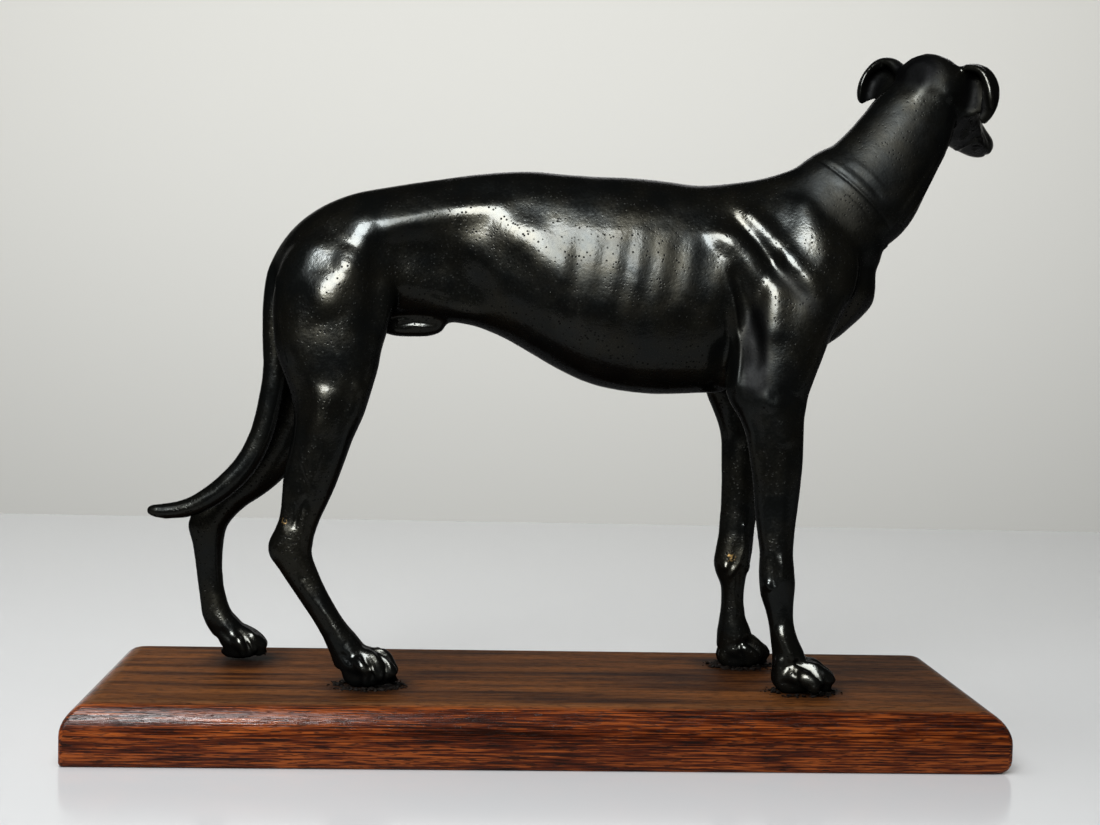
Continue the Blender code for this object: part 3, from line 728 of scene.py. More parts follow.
@dataclass(frozen=True)
class Toe:
    """One toe as a roll of clay, arched over its knuckle, with a claw.

    Attributes:
        knuckle: The top of its knuckle.
        tip: The foot of its end, above the claw's point.
        thick: Its half thickness.
        middle: How far left the middle of its paw is.
    """

    knuckle: tuple[float, float, float]
    tip: tuple[float, float, float]
    thick: float
    middle: float

    def rolls(self) -> tuple[tuple[tuple[float, float, float, float], ...], ...]:
        """Lays the toe and its claw out.

        Returns:
            Each as a row of x, y, z and half thickness.
        """
        (kx, ky, kz), (tx, ty, tz), r = self.knuckle, self.tip, self.thick
        toe = (
            (kx - 3.6, ky * 0.9 + self.middle * 0.1, kz - r + 0.4, r * 0.72),
            (kx - 0.4, ky, kz - r, r),
            (kx + (tx - kx) * 0.6, (ky + ty) / 2, kz - r + (tz + 0.8 * r - kz + r) * 0.5, r * 0.98),
            (tx - 1.0, ty, tz + r * 0.85, r * 0.86),
            (tx + 0.1, ty, tz + r * 0.55, r * 0.5),
        )
        claw = ((tx - 0.4, ty, tz + 1.9, 0.8), (tx + 0.8, ty, tz + 1.4, 0.6), (tx + 1.3, ty, tz + 0.6, 0.3))
        return toe, claw


TOES = (
    Toe((-60.0, -22.0, 10.8), (-56.6, -22.6, 0.3), 2.5, -17.0),
    Toe((-56.0, -19.0, 12.3), (-52.0, -19.9, 0.3), 2.4, -17.0),
    Toe((-53.2, -15.8, 12.6), (-49.0, -15.9, 0.3), 2.4, -17.0),
    Toe((-56.6, -12.6, 10.8), (-52.6, -12.0, 0.3), 2.4, -17.0),
    Toe((89.2, -25.2, 8.2), (92.8, -26.2, 0.3), 2.9, -19.0),
    Toe((92.6, -21.6, 11.0), (97.4, -22.6, 0.3), 2.6, -19.0),
    Toe((92.8, -18.0, 11.4), (98.0, -18.8, 0.3), 2.6, -19.0),
    Toe((89.4, -14.6, 9.8), (94.2, -15.0, 0.3), 2.6, -19.0),
    Toe((74.6, 15.2, 9.8), (78.4, 15.4, 0.3), 2.7, 20.0),
    Toe((78.6, 18.6, 11.6), (83.4, 19.3, 0.3), 2.6, 20.0),
    Toe((78.6, 21.9, 11.6), (83.2, 22.9, 0.3), 2.6, 20.0),
    Toe((75.8, 25.2, 9.8), (80.2, 26.3, 0.3), 2.6, 20.0),
    Toe((-105.4, 15.7, 9.2), (-102.0, 15.8, 1.2), 2.4, 20.0),
    Toe((-101.4, 18.4, 11.2), (-97.4, 18.9, 1.2), 2.4, 20.0),
    Toe((-101.4, 21.7, 11.2), (-97.4, 22.4, 1.2), 2.4, 20.0),
    Toe((-104.6, 24.6, 9.8), (-100.8, 25.4, 1.2), 2.4, 20.0),
)
# Heels that carry each shank down to the board: rolls of x, y, z and half thickness
PADS = (
    *(
        ((-67.6, y, 13.0, 2.6), (-64.4, y, 7.0, 2.8), (-62.6, y, 3.0, 2.8), (-57.0, y, 2.9, 2.7))
        for y in (-19.4, -14.8)
    ),
    *(
        ((81.4, y, 12.0, 2.2), (81.6, y, 7.0, 2.6), (82.2, y, 3.1, 2.9), (88.0, y - 0.8, 3.0, 2.8))
        for y in (-21.2, -16.8)
    ),
    *(
        ((70.0, y, 12.0, 2.2), (69.6, y, 7.0, 2.6), (69.2, y, 3.1, 2.9), (76.0, y + 0.8, 3.0, 2.8))
        for y in (17.0, 21.4)
    ),
    *(
        ((-111.4, y, 10.0, 2.3), (-109.4, y, 6.4, 2.4), (-107.0, y, 4.4, 2.5), (-103.0, y, 4.0, 2.5))
        for y in (17.8, 22.0)
    ),
)
# Knee and shank bones that show through the skin, written the same way
SMALL_BONES = (
    ((75.0, -20.8, 35.2, 0.8), (75.8, -21.0, 36.8, 1.2), (76.6, -20.8, 39.0, 0.8)),
    ((80.4, -20.8, 20.6, 1.0), (83.6, -21.8, 13.6, 1.4), (86.6, -22.6, 8.0, 1.7)),
    ((69.4, 15.4, 28.0, 0.8), (71.2, 15.2, 20.0, 1.0), (73.4, 14.9, 10.6, 1.8)),
)
# Grooves and knuckles of a paw in its own frame: lines of forward, outward and up, reach, height
HIND_PAW = (
    (((8.2, 5.2, 12.0), (10.8, 6.4, 8.8), (11.9, 7.2, 5.0), (12.0, 7.0, 1.0)), 0.85, -1.35),
    (((14.8, 6.4, 6.5), (15.2, 6.4, 2.0)), 2.0, -0.9),
    (((7.4, 6.4, 10.2), (9.2, 7.4, 6.0), (9.8, 7.4, 2.0)), 1.2, 0.5),
    (((13.2, 2.6, 12.8), (16.4, 4.2, 9.0), (17.0, 4.8, 5.0), (17.0, 4.6, 1.0)), 0.75, -1.05),
    (((12.4, 4.0, 12.0), (14.4, 5.4, 7.5), (14.9, 5.7, 2.5)), 1.0, 0.45),
    (((2.0, 5.4, 11.0), (5.0, 6.4, 8.5), (6.0, 7.0, 3.0)), 1.1, -0.5),
)
FORE_PAW = (
    (((7.6, 4.4, 10.6), (11.8, 5.6, 9.0), (15.2, 6.6, 6.4), (16.2, 6.6, 1.0)), 0.85, -1.30),
    (((17.6, 5.6, 5.0), (18.0, 5.4, 1.5)), 1.8, -0.7),
    (((7.0, 6.2, 8.4), (7.6, 7.2, 4.5), (7.8, 7.2, 1.0)), 0.9, -0.9),
    (((9.8, 6.4, 8.0), (12.6, 7.0, 5.5), (13.6, 7.0, 2.0)), 1.4, 0.5),
    (((11.5, 3.2, 10.8), (16.0, 4.2, 8.6), (18.4, 4.4, 4.0)), 1.0, 0.45),
)
CLEFT = (((11.5, 0.0, 12.6), (16.5, 0.0, 10.4), (19.2, 0.0, 6.0), (19.2, 0.0, 1.5)), 0.75, -1.1)
# Forward and left of each heel, which way its paw points in degrees, and its grooves
PAWS = (
    ((79.4, -18.4, -7.0), FORE_PAW),
    ((65.4, 18.8, 8.0), FORE_PAW),
    ((-67.6, -17.2, -4.0), HIND_PAW),
    ((-113.8, 19.8, 4.0), HIND_PAW),
)

# A groove deeper than this keeps some soot
SOOTY_GROOVE = -0.8
GROOVE_SOOT = 0.3


def paw_marks() -> tuple[Mark, ...]:
    """Lays the paws' grooves and knuckles out on both sides of each paw.

    Returns:
        The marks.
    """
    marks = []
    for (heel_x, heel_y, heading), table in PAWS:
        ahead_x, ahead_y = math.cos(math.radians(heading)), math.sin(math.radians(heading))
        for side, lines in ((-1, table), (1, (*table, CLEFT))):
            for line, reach, height in lines:
                places = []
                for ahead, out, up in line:
                    x = heel_x + ahead * ahead_x - side * out * ahead_y
                    y = heel_y + ahead * ahead_y + side * out * ahead_x
                    places.append((x, y, up))
                paw_shade_and_soot = GROOVE_SOOT if height < SOOTY_GROOVE else 0.0
                marks.append(Mark(tuple(places), reach, height, paw_shade_and_soot))
    return tuple(marks)


# Rolled rims of the ears: x, y, z and half thickness
EAR_RIMS = (
    (
        (141.5, -4.6, 213.6, 1.2), (145.4, -8.4, 212.2, 1.5), (147.6, -10.6, 208.0, 1.5),
        (148.6, -11.4, 203.0, 1.4), (149.4, -10.6, 198.8, 1.1),
    ),
    (
        (118.6, 12.2, 216.6, 0.9), (115.0, 15.2, 214.6, 1.0), (112.4, 17.2, 210.0, 1.0),
        (111.8, 18.0, 206.0, 0.8),
    ),
)


def face_rolls() -> tuple[tuple[tuple[float, float, float, float], ...], ...]:
    """Lays brows, lids, cheek bones, lips and nose out on both sides of the face.

    Returns:
        Each as a row of x, y, z and half thickness.
    """
    rolls = [((*in_head(45.6, 0, 0.4), 2.4), (*in_head(48.4, 0, -0.6), 2.5))]
    for side in (-1, 1):
        for rows in (
            ((16.0, 8.4, 8.0, 1.6), (20.0, 8.2, 6.8, 1.7), (24.5, 6.0, 4.4, 1.3)),
            ((17.6, 9.6, 4.4, 0.8), (20.0, 9.6, 5.6, 0.9), (22.8, 8.4, 4.4, 0.8)),
            ((17.8, 9.8, 3.0, 0.7), (20.2, 9.6, 2.0, 0.8), (22.8, 8.4, 3.0, 0.7)),
            ((6.0, 12.4, -3.0, 2.0), (14.0, 10.6, -1.6, 1.7), (22.0, 8.0, -1.4, 1.2)),
            ((44.0, 5.2, -4.0, 1.2), (38.0, 6.2, -5.2, 1.4), (30.0, 7.2, -6.0, 1.4), (25.5, 8.0, -6.6, 1.2)),
            ((46.0, 3.4, -1.0, 1.3), (48.2, 2.6, -1.4, 1.2)),
        ):
            rolls.append(tuple((*in_head(a, b * side, c), r) for a, b, c, r in rows))
    return tuple(rolls)


def face_marks() -> tuple[Mark, ...]:
    """Lays eyes, nostrils, mouth and the furrow of the muzzle out on both sides of the face.

    Returns:
        The marks.
    """
    marks = [Mark((in_head(49.6, 0, 1.0), in_head(49.8, 0, -3.6)), 0.5, -0.5, 0.5)]
    for side in (-1, 1):
        mouth = ((47.5, 2.6, -5.2), (40.0, 6.4, -7.0), (26.0, 8.8, -8.4))
        marks += [
            Mark((in_head(20.2, 10.2 * side, 3.7),), 1.3, 0.5),
            Mark((in_head(17.4, 10.4 * side, 3.5), in_head(23.2, 8.2 * side, 3.6)), 2.3, -0.55, 0.3),
            Mark((in_head(49.0, 3.0 * side, -1.0),), 0.9, -1.0, 0.8),
            Mark(tuple(in_head(a, b * side, c) for a, b, c in mouth), 0.6, -0.7, 0.7),
            Mark((in_head(27.0, 8.6 * side, 0.4), in_head(38.0, 6.6 * side, -1.6)), 1.6, -0.4),
        ]
    return tuple(marks)


# Marks of nape, neck, skull, flank, ears, muzzle, throat, sheath, thigh and far knee, in that order. Where a
# mark has a fourth value it darkens the patina: painted shade over neck, collar, skull, ribs, hip band, upper
# arm, shoulder and ear hollows, and soot in the mouth and the sheath's groove.
MARKS = (
    Mark(((135.0, -8.0, 203.6),), 3.2, 1.1),
    Mark(((127.7, -7.5, 206.3), (125.0, -8.6, 204.6)), 2.8, 0.60),
    # These marks only darken: painted shade over neck, collar, skull, ribs, hip band, upper arm and shoulder.
    Mark(((104.0, -13.0, 166.0), (112.0, -11.0, 179.0), (118.0, -9.0, 190.0)), 12.0, 0.0, 0.58),
    Mark(((92.0, -14.0, 174.0), (100.0, -13.0, 164.0), (106.0, -12.0, 174.0)), 9.0, 0.0, 0.62),
    Mark(((127.0, -4.0, 212.0), (121.0, 0.0, 214.0), (126.0, 4.0, 217.0)), 7.5, 0.0, 1.0),
    Mark(((8.0, -22.0, 143.0), (40.0, -22.0, 142.0)), 12.0, 0.0, 0.30),
    Mark(((-50.0, -17.5, 154.5), (-38.0, -16.2, 158.0)), 5.0, 0.0, 0.28),
    Mark(((68.0, -22.0, 126.0), (69.5, -23.0, 104.0)), 5.5, 0.0, 0.95),
    Mark(((77.0, -23.5, 141.0), (87.0, -23.0, 131.0)), 3.0, 0.0, 0.75),
    # Ear hollows, dented and darkened with painted shade.
    Mark(((145.2, -7.5, 206.0), (145.2, -9.0, 198.6)), 3.4, -1.2, 0.95),
    Mark(((144.2, -2.6, 208.0), (144.2, -3.6, 202.0)), 3.6, -0.4, 0.95),
    Mark(((116.5, 16.5, 210.5), (114.5, 17.5, 204.5)), 3.6, -0.9, 0.95),
    Mark(((154.7, 21.0, 191.0),), 1.0, -1.5, 0.9),
    Mark(((152.2, 18.4, 191.0),), 0.8, 0.45),
    Mark(((153.4, 17.2, 192.6), (156.4, 20.6, 192.6), (157.4, 23.4, 191.4), (155.4, 24.6, 189.4)), 0.7, 0.75),
    Mark(((147.0, 5.0, 196.0), (147.2, 9.8, 193.1), (147.4, 13.6, 191.6)), 0.7, 0.75),
    Mark(((153.2, 12.0, 195.6), (153.9, 15.5, 194.6), (154.6, 18.0, 193.2)), 0.7, 0.75),
    Mark(((151.0, 18.4, 190.5), (149.4, 21.9, 189.3), (149.0, 26.2, 188.9)), 0.7, 0.45),
    Mark(
        (
            (137.4, -1.2, 184.4), (134.0, -3.0, 178.1), (130.5, -3.6, 171.5), (125.6, -6.2, 165.3),
            (120.6, -7.8, 160.0),
        ),
        0.6, 0.35,
    ),
    Mark(((135.4, -4.4, 181.0), (131.4, -5.6, 173.4), (126.4, -7.6, 166.8)), 0.7, -0.35),
    Mark(((116.6, -4.2, 151.8),), 1.3, 0.7),
    Mark(((-50.0, -4.2, 122.4), (-45.0, -4.8, 123.2), (-39.5, -4.4, 122.6)), 0.9, 0.60),
    Mark(((-46.0, -4.2, 120.8), (-39.0, -3.8, 120.2)), 0.7, 0.40),
    Mark(((-48.5, -4.4, 121.4), (-42.0, -4.6, 121.7), (-38.0, -4.2, 121.4)), 0.7, -0.50, 0.2),
    Mark(((-47.0, -8.0, 133.0), (-40.0, -10.5, 132.4), (-34.0, -10.6, 130.2)), 0.9, -0.40),
    Mark(((-90.4, -14.6, 136.1), (-88.5, -19.8, 121.2), (-85.9, -20.8, 107.4)), 0.6, 0.32),
    Mark(((67.2, 13.4, 36.8),), 1.3, 0.90),
    Mark(((73.6, 13.6, 52.0), (74.2, 13.2, 45.0), (72.4, 13.0, 39.0), (68.8, 13.2, 33.6)), 0.8, 0.55),
    Mark(((70.8, 13.4, 44.0), (70.0, 13.2, 38.0)), 1.5, -0.40),
    Mark(((70.6, 14.1, 29.0), (72.0, 14.1, 20.0)), 0.8, 0.35),
)


@dataclass
class Casting:
    """The greyhound itself, one casting.

    Attributes:
        foot: Height of the board that it stands on.
        grid: Fineness of the fused skin.
        triangles: The most triangles that it may have.
        facet_rounds: How long fine parts, limbs and trunk are eased before carving.
        polish_rounds: How long the carving is eased.
        sole: Height of the soles above the board.
        facing_span: How far the skin has to face sideways for the carving to set in, and to be whole.
        soot_and_shade_spread: How far soot and painted shade spread out of a mark.
        strokes: The carving that is eased.
        lines: The carving that stays crisp.
        marks: The single marks.
        rubs: Middle, reach and strength of each spot that is rubbed through to the metal.
        head_middle: Middle of the head.
        nape_middle: Middle of the nape, which is smooth as the trunk is.
        nape_reach: Its reach.
        head_span: How far from its middle the head's fine forms end.
        paw_span: The height at which the paws' fine forms end.
        belly_span: The height at which legs become trunk.
        tail_span: How far forward tail becomes trunk.
        piece: The piece, once it is begun.
    """

    foot: float = PLINTH_TOP
    grid: float = 0.52
    quick_grid: float = 1.0
    triangles: int = 192000
    facet_rounds: tuple[int, int, int] = (8, 22, 70)
    polish_rounds: int = 8
    sole: float = 0.06
    facing_span: tuple[float, float] = (0.08, 0.48)
    soot_and_shade_spread: float = 1.5
    strokes: tuple[Stroke, ...] = RIBS + SHOULDER + HAUNCH + LIMBS
    lines: tuple[Stroke, ...] = FINE_LINES + NEAR_LIMBS
    marks: tuple[Mark, ...] = field(default_factory=lambda: MARKS + face_marks() + paw_marks())
    rubs: tuple[tuple[tuple[float, float, float], float, float], ...] = (
        ((69.2, 13.2, 40.6), 2.2, 0.62),
        ((-86.4, -20.6, 55.5), 2.6, 0.45),
    )
    head_middle: tuple[float, float, float] = (136.0, 8.0, 204.0)
    nape_middle: tuple[float, float, float] = (126.0, -6.0, 205.0)
    nape_reach: float = 9.0
    head_span: tuple[float, float] = (20.0, 30.0)
    paw_span: tuple[float, float] = (14.0, 24.0)
    belly_span: tuple[float, float] = (96.0, 116.0)
    tail_span: tuple[float, float] = (-96.0, -86.0)
    piece: bpy.types.Object | None = None

    def copy_solid(self, node: bpy.types.Object) -> None:
        """Copies the solid and joins up its loose triangles.

        Args:
            node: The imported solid.
        """
        mesh = node.data.copy()
        mesh.materials.clear()
        body = bmesh.new()
        body.from_mesh(mesh)
        bmesh.ops.remove_doubles(body, verts=body.verts, dist=1e-6)
        body.to_mesh(mesh)
        body.free()
        self.piece = bpy.data.objects.new(CASTING_NAME, mesh)
        bpy.context.collection.objects.link(self.piece)

    def add_clay(self, rolls: list) -> None:
        """Lays rolls of clay on the piece.

        Args:
            rolls: Each a row of x, y, z and half thickness, in millimetres.
        """
        shape = bpy.data.curves.new("clay", "CURVE")
        shape.dimensions = "3D"
        shape.bevel_depth = MM
        shape.bevel_resolution = 4
        shape.resolution_u = 8
        shape.use_fill_caps = True
        for rows in rolls:
            line = shape.splines.new("BEZIER")
            line.bezier_points.add(len(rows) - 1)
            for knot, (x, y, z, thick) in zip(line.bezier_points, rows):
                knot.co = (x * MM, y * MM, (z + self.foot) * MM)
                knot.radius = thick
                knot.handle_left_type = knot.handle_right_type = "AUTO"
        clay = bpy.data.objects.new("clay", shape)
        bpy.context.collection.objects.link(clay)
        pick(clay)
        bpy.ops.object.convert(target="MESH")
        self.piece.select_set(True)
        bpy.context.view_layer.objects.active = self.piece
        bpy.ops.object.join()

    def fuse(self, grid: float) -> None:
        """Makes one even skin of everything in the piece."""
        apply_modifier(self.piece, "REMESH", mode="VOXEL", voxel_size=grid * MM, use_smooth_shade=True)

    def points(self) -> np.ndarray:
        """Reads the piece's points.

        Returns:
            Forward, left and up of each point, in millimetres from the plinth's top.
        """
        values = np.empty(len(self.piece.data.vertices) * 3)
        self.piece.data.vertices.foreach_get("co", values)
        return values.reshape(-1, 3) / MM - np.array((0, 0, self.foot))

    def put(self, points: np.ndarray) -> None:
        """Writes the points back.

        Args:
            points: What points() gave, moved.
        """
        values = (points + np.array((0, 0, self.foot))) * MM
        self.piece.data.vertices.foreach_set("co", values.ravel())
        self.piece.data.update()

    def pairs(self) -> np.ndarray:
        """Reads the edges.

        Returns:
            Two rows, with the point number of each edge's one end and other end.
        """
        values = np.empty(len(self.piece.data.edges) * 2, dtype=np.int64)
        self.piece.data.edges.foreach_get("vertices", values)
        return values.reshape(-1, 2).T

    def normals(self) -> np.ndarray:
        """Reads the skin's directions.

        Returns:
            The outward direction at each point.
        """
        values = np.empty(len(self.piece.data.vertices) * 3)
        self.piece.data.vertices.foreach_get("normal", values)
        return values.reshape(-1, 3)

    def store(self, name: str, values: np.ndarray) -> None:
        """Keeps one value a point, for the finish to read."""
        layer = self.piece.data.attributes.new(name, "FLOAT", "POINT")
        layer.data.foreach_set("value", values.astype(np.float32))

    def ease(self, values: np.ndarray, pairs: np.ndarray, rounds: int) -> np.ndarray:
        """Evens values out over the skin.

        Args:
            values: One row a point.
            pairs: The edges.
            rounds: How many times each point moves half way to its neighbours' middle.

        Returns:
            The eased values.
        """
        one, other = pairs
        count = len(values)
        degree = np.maximum(np.bincount(one, minlength=count) + np.bincount(other, minlength=count), 1)
        for _ in range(rounds):
            total = np.empty_like(values)
            for axis, column in enumerate(values.T):
                total[:, axis] = np.bincount(one, column[other], count)
                total[:, axis] += np.bincount(other, column[one], count)
            values = values + 0.5 * (total / degree[:, None] - values)
        return values

    def ease_true(self, values: np.ndarray, pairs: np.ndarray, rounds: int) -> np.ndarray:
        """Evens values out and gives back the broad form that easing took away."""
        once = self.ease(values, pairs, rounds)
        return once + self.ease(values - once, pairs, rounds)

    def regions(self, points: np.ndarray) -> tuple[np.ndarray, np.ndarray, np.ndarray]:
        """Shares the skin out.

        Args:
            points: What points() gives.

        Returns:
            How far each point belongs to the fine parts, the limbs and the trunk.
        """
        from_head = np.linalg.norm(points - np.array(self.head_middle), axis=1)
        head = 1 - smoothstep(*self.head_span, from_head)
        trunk = smoothstep(*self.belly_span, points[:, 2]) * smoothstep(*self.tail_span, points[:, 0])
        trunk = np.maximum(trunk * (1 - head), near(points, self.nape_middle, self.nape_reach))
        fine = np.maximum(head, 1 - smoothstep(*self.paw_span, points[:, 2])) * (1 - trunk)
        return fine, 1 - fine - trunk, trunk

    def ease_facets(self) -> None:
        """Melts the solid's facets into a smooth skin, gently on paws and head, more on the trunk."""
        points, pairs = self.points(), self.pairs()
        result = np.zeros_like(points)
        for share, rounds in zip(self.regions(points), self.facet_rounds):
            result += share[:, None] * self.ease_true(points, pairs, rounds)
        self.put(result)

    def carve(self, strokes: tuple[Stroke, ...]) -> None:
        """Raises and cuts the skin where it faces sideways.

        Args:
            strokes: The lines to carve.
        """
        points, normals = self.points(), self.normals()
        low, high = self.facing_span
        sideways = np.clip((np.abs(normals[:, 1]) - low) / (high - low), 0, 1)
        lift = np.zeros(len(points))
        for stroke in strokes:
            facing = sideways
            if stroke.side is not Side.BOTH:
                facing = sideways * (np.sign(normals[:, 1]) == stroke.side.value)
            lift += stroke.lift(points[:, (0, 2)]) * facing
        self.put(points + normals * lift[:, None])

    def press(self) -> None:
        """Presses the single marks into the skin and keeps the soot and painted shade that they leave."""
        points, normals = self.points(), self.normals()
        lift, soot_and_shade = np.zeros(len(points)), np.zeros(len(points))
        # A mark's fourth value leaves soot in hollows, or painted shade over broad parts of the skin.
        for mark in self.marks:
            share = mark.share(points)
            lift += share * mark.height
            soot_and_shade = np.maximum(soot_and_shade, np.clip(share * self.soot_and_shade_spread, 0, 1) * mark.soot_and_shade)
        self.put(points + normals * lift[:, None])
        self.store("soot_and_shade", soot_and_shade)

    def stand(self) -> None:
        """Flattens the soles where they meet the board."""
        points = self.points()
        points[:, 2] = np.maximum(points[:, 2], self.sole)
        self.put(points)

    def soften(self) -> None:
        """Takes the tool marks off everything but the paws and head."""
        points = self.points()
        fine, _, _ = self.regions(points)
        eased = self.ease(points, self.pairs(), self.polish_rounds)
        self.put(points + (eased - points) * (1 - fine)[:, None])

    def rub(self) -> None:
        """Stores where the patina is rubbed through to the metal, on the far foreleg's knee and the hock."""
        points = self.points()
        spots = [near(points, place, reach) * share for place, reach, share in self.rubs]
        self.store("rub", np.max(spots, axis=0))

    def build(self, node: bpy.types.Object, finish: bpy.types.Material) -> bpy.types.Object:
        """Makes the casting.

        Args:
            node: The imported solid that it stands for.
            finish: Its material.

        Returns:
            The finished piece.
        """
        self.copy_solid(node)
        toes = [roll for toe in TOES for roll in toe.rolls()]
        self.add_clay([*toes, *PADS, *SMALL_BONES, *EAR_RIMS, *face_rolls()])
        self.fuse(self.grid)
        self.ease_facets()
        self.carve(self.strokes)
        self.soften()
        self.carve(self.lines)
        self.press()
        self.stand()
        count = len(self.piece.data.polygons) * 2
        if count > self.triangles:
            apply_modifier(self.piece, "DECIMATE", ratio=self.triangles / count)
        self.rub()
        pick(self.piece)
        bpy.ops.object.shade_smooth()
        self.piece.data.materials.append(finish)
        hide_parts("greyhound")
        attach(self.piece, BODY)
        return self.piece


# The board


@dataclass
class Board:
    """The plinth: a board with a routed quarter round, worn at its fore end's lower edge.

    Attributes:
        length: Its length, in millimetres.
        width: Its width.
        thickness: Its thickness.
        edge_radius: Radius of the routed round.
        corner_radius: How far its upright corners are eased.
        foot_break: How far its lower edges are broken.
        fore_break: How far the lower edge of the fore end is worn.
        end_zone: How far from its ends an upright corner can lie.
        slack: How near an edge has to be to count as lying somewhere.
        smooth_angle: Below this many degrees two faces look like one.
    """

    length: float = 305.0
    width: float = 100.0
    thickness: float = PLINTH_TOP
    edge_radius: float = 10.0
    corner_radius: float = 1.8
    foot_break: float = 1.2
    fore_break: float = 4.5
    end_zone: float = 6.0
    slack: float = 0.01
    smooth_angle: float = 35.0

    def at_foot(self, a: Vector, b: Vector) -> bool:
        """Says whether an edge with these ends lies on the board's underside."""
        return max(a.z, b.z) < self.slack

    def at_fore_foot(self, a: Vector, b: Vector) -> bool:
        """Says whether it is the lower edge of the fore end."""
        return self.at_foot(a, b) and min(a.x, b.x) > self.length / 2 - self.slack

    def at_top(self, a: Vector, b: Vector) -> bool:
        """Says whether it lies on the board's top."""
        return min(a.z, b.z) > self.thickness - self.slack

    def at_corner(self, a: Vector, b: Vector) -> bool:
        """Says whether it is part of an upright corner, up to the mitre of the routed round.

        Args:
            a: One end of the edge.
            b: The other end.

        Returns:
            Whether it is.
        """
        if abs(a.z - b.z) < 1e-4:
            return False
        from_end = [self.length / 2 - abs(v.x) for v in (a, b)]
        from_side = [self.width / 2 - abs(v.y) for v in (a, b)]
        mitred = all(abs(end - side) < self.slack for end, side in zip(from_end, from_side))
        above_wear = min(a.z, b.z) > self.fore_break - 0.1
        upright = max(map(abs, from_side)) < self.slack and max(from_end) < self.end_zone
        return (mitred and above_wear) or upright

    def round_edges(
        self, piece: bpy.types.Object, wanted: Callable[[Vector, Vector], bool], radius: float, segments: int
    ) -> None:
        """Rounds the wanted edges over in edit mode.

        Args:
            piece: The board.
            wanted: Says of an edge's two ends, in millimetres, whether it is rounded.
            radius: The radius in millimetres.
            segments: How many faces the round gets.
        """
        pick(piece)
        bpy.ops.object.mode_set(mode="EDIT")
        bpy.ops.mesh.select_mode(type="EDGE")
        mesh = bmesh.from_edit_mesh(piece.data)
        for item in (*mesh.verts, *mesh.edges, *mesh.faces):
            item.select = False
        for edge in mesh.edges:
            if wanted(*(v.co / MM for v in edge.verts)):
                edge.select_set(True)
        bmesh.update_edit_mesh(piece.data)
        bpy.ops.mesh.bevel(offset=radius * MM, segments=segments, offset_type="OFFSET", affect="EDGES")
        bpy.ops.object.mode_set(mode="OBJECT")

    def build(self, finish: bpy.types.Material) -> bpy.types.Object:
        """Makes the board.

        Args:
            finish: Its material.

        Returns:
            The finished piece.
        """
        bpy.ops.object.select_all(action="DESELECT")
        bpy.ops.mesh.primitive_cube_add(size=1.0, location=(0, 0, self.thickness / 2 * MM))
        piece = bpy.context.object
        piece.name = BOARD_NAME
        piece.scale = (self.length * MM, self.width * MM, self.thickness * MM)
        bpy.ops.object.transform_apply(location=True, rotation=True, scale=True)
        self.round_edges(piece, self.at_fore_foot, self.fore_break, 4)
        self.round_edges(piece, self.at_top, self.edge_radius, 10)
        self.round_edges(piece, self.at_corner, self.corner_radius, 4)
        self.round_edges(piece, self.at_foot, self.foot_break, 2)
        pick(piece)
        bpy.ops.object.mode_set(mode="EDIT")
        bpy.ops.mesh.select_all(action="SELECT")
        bpy.ops.mesh.remove_doubles(threshold=1e-5)
        bpy.ops.mesh.normals_make_consistent(inside=False)
        bpy.ops.object.mode_set(mode="OBJECT")
        bpy.ops.object.shade_smooth_by_angle(angle=math.radians(self.smooth_angle))
        piece.data.materials.clear()
        piece.data.materials.append(finish)
        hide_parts("plinth")
        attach(piece, BODY)
        return piece


# The filler


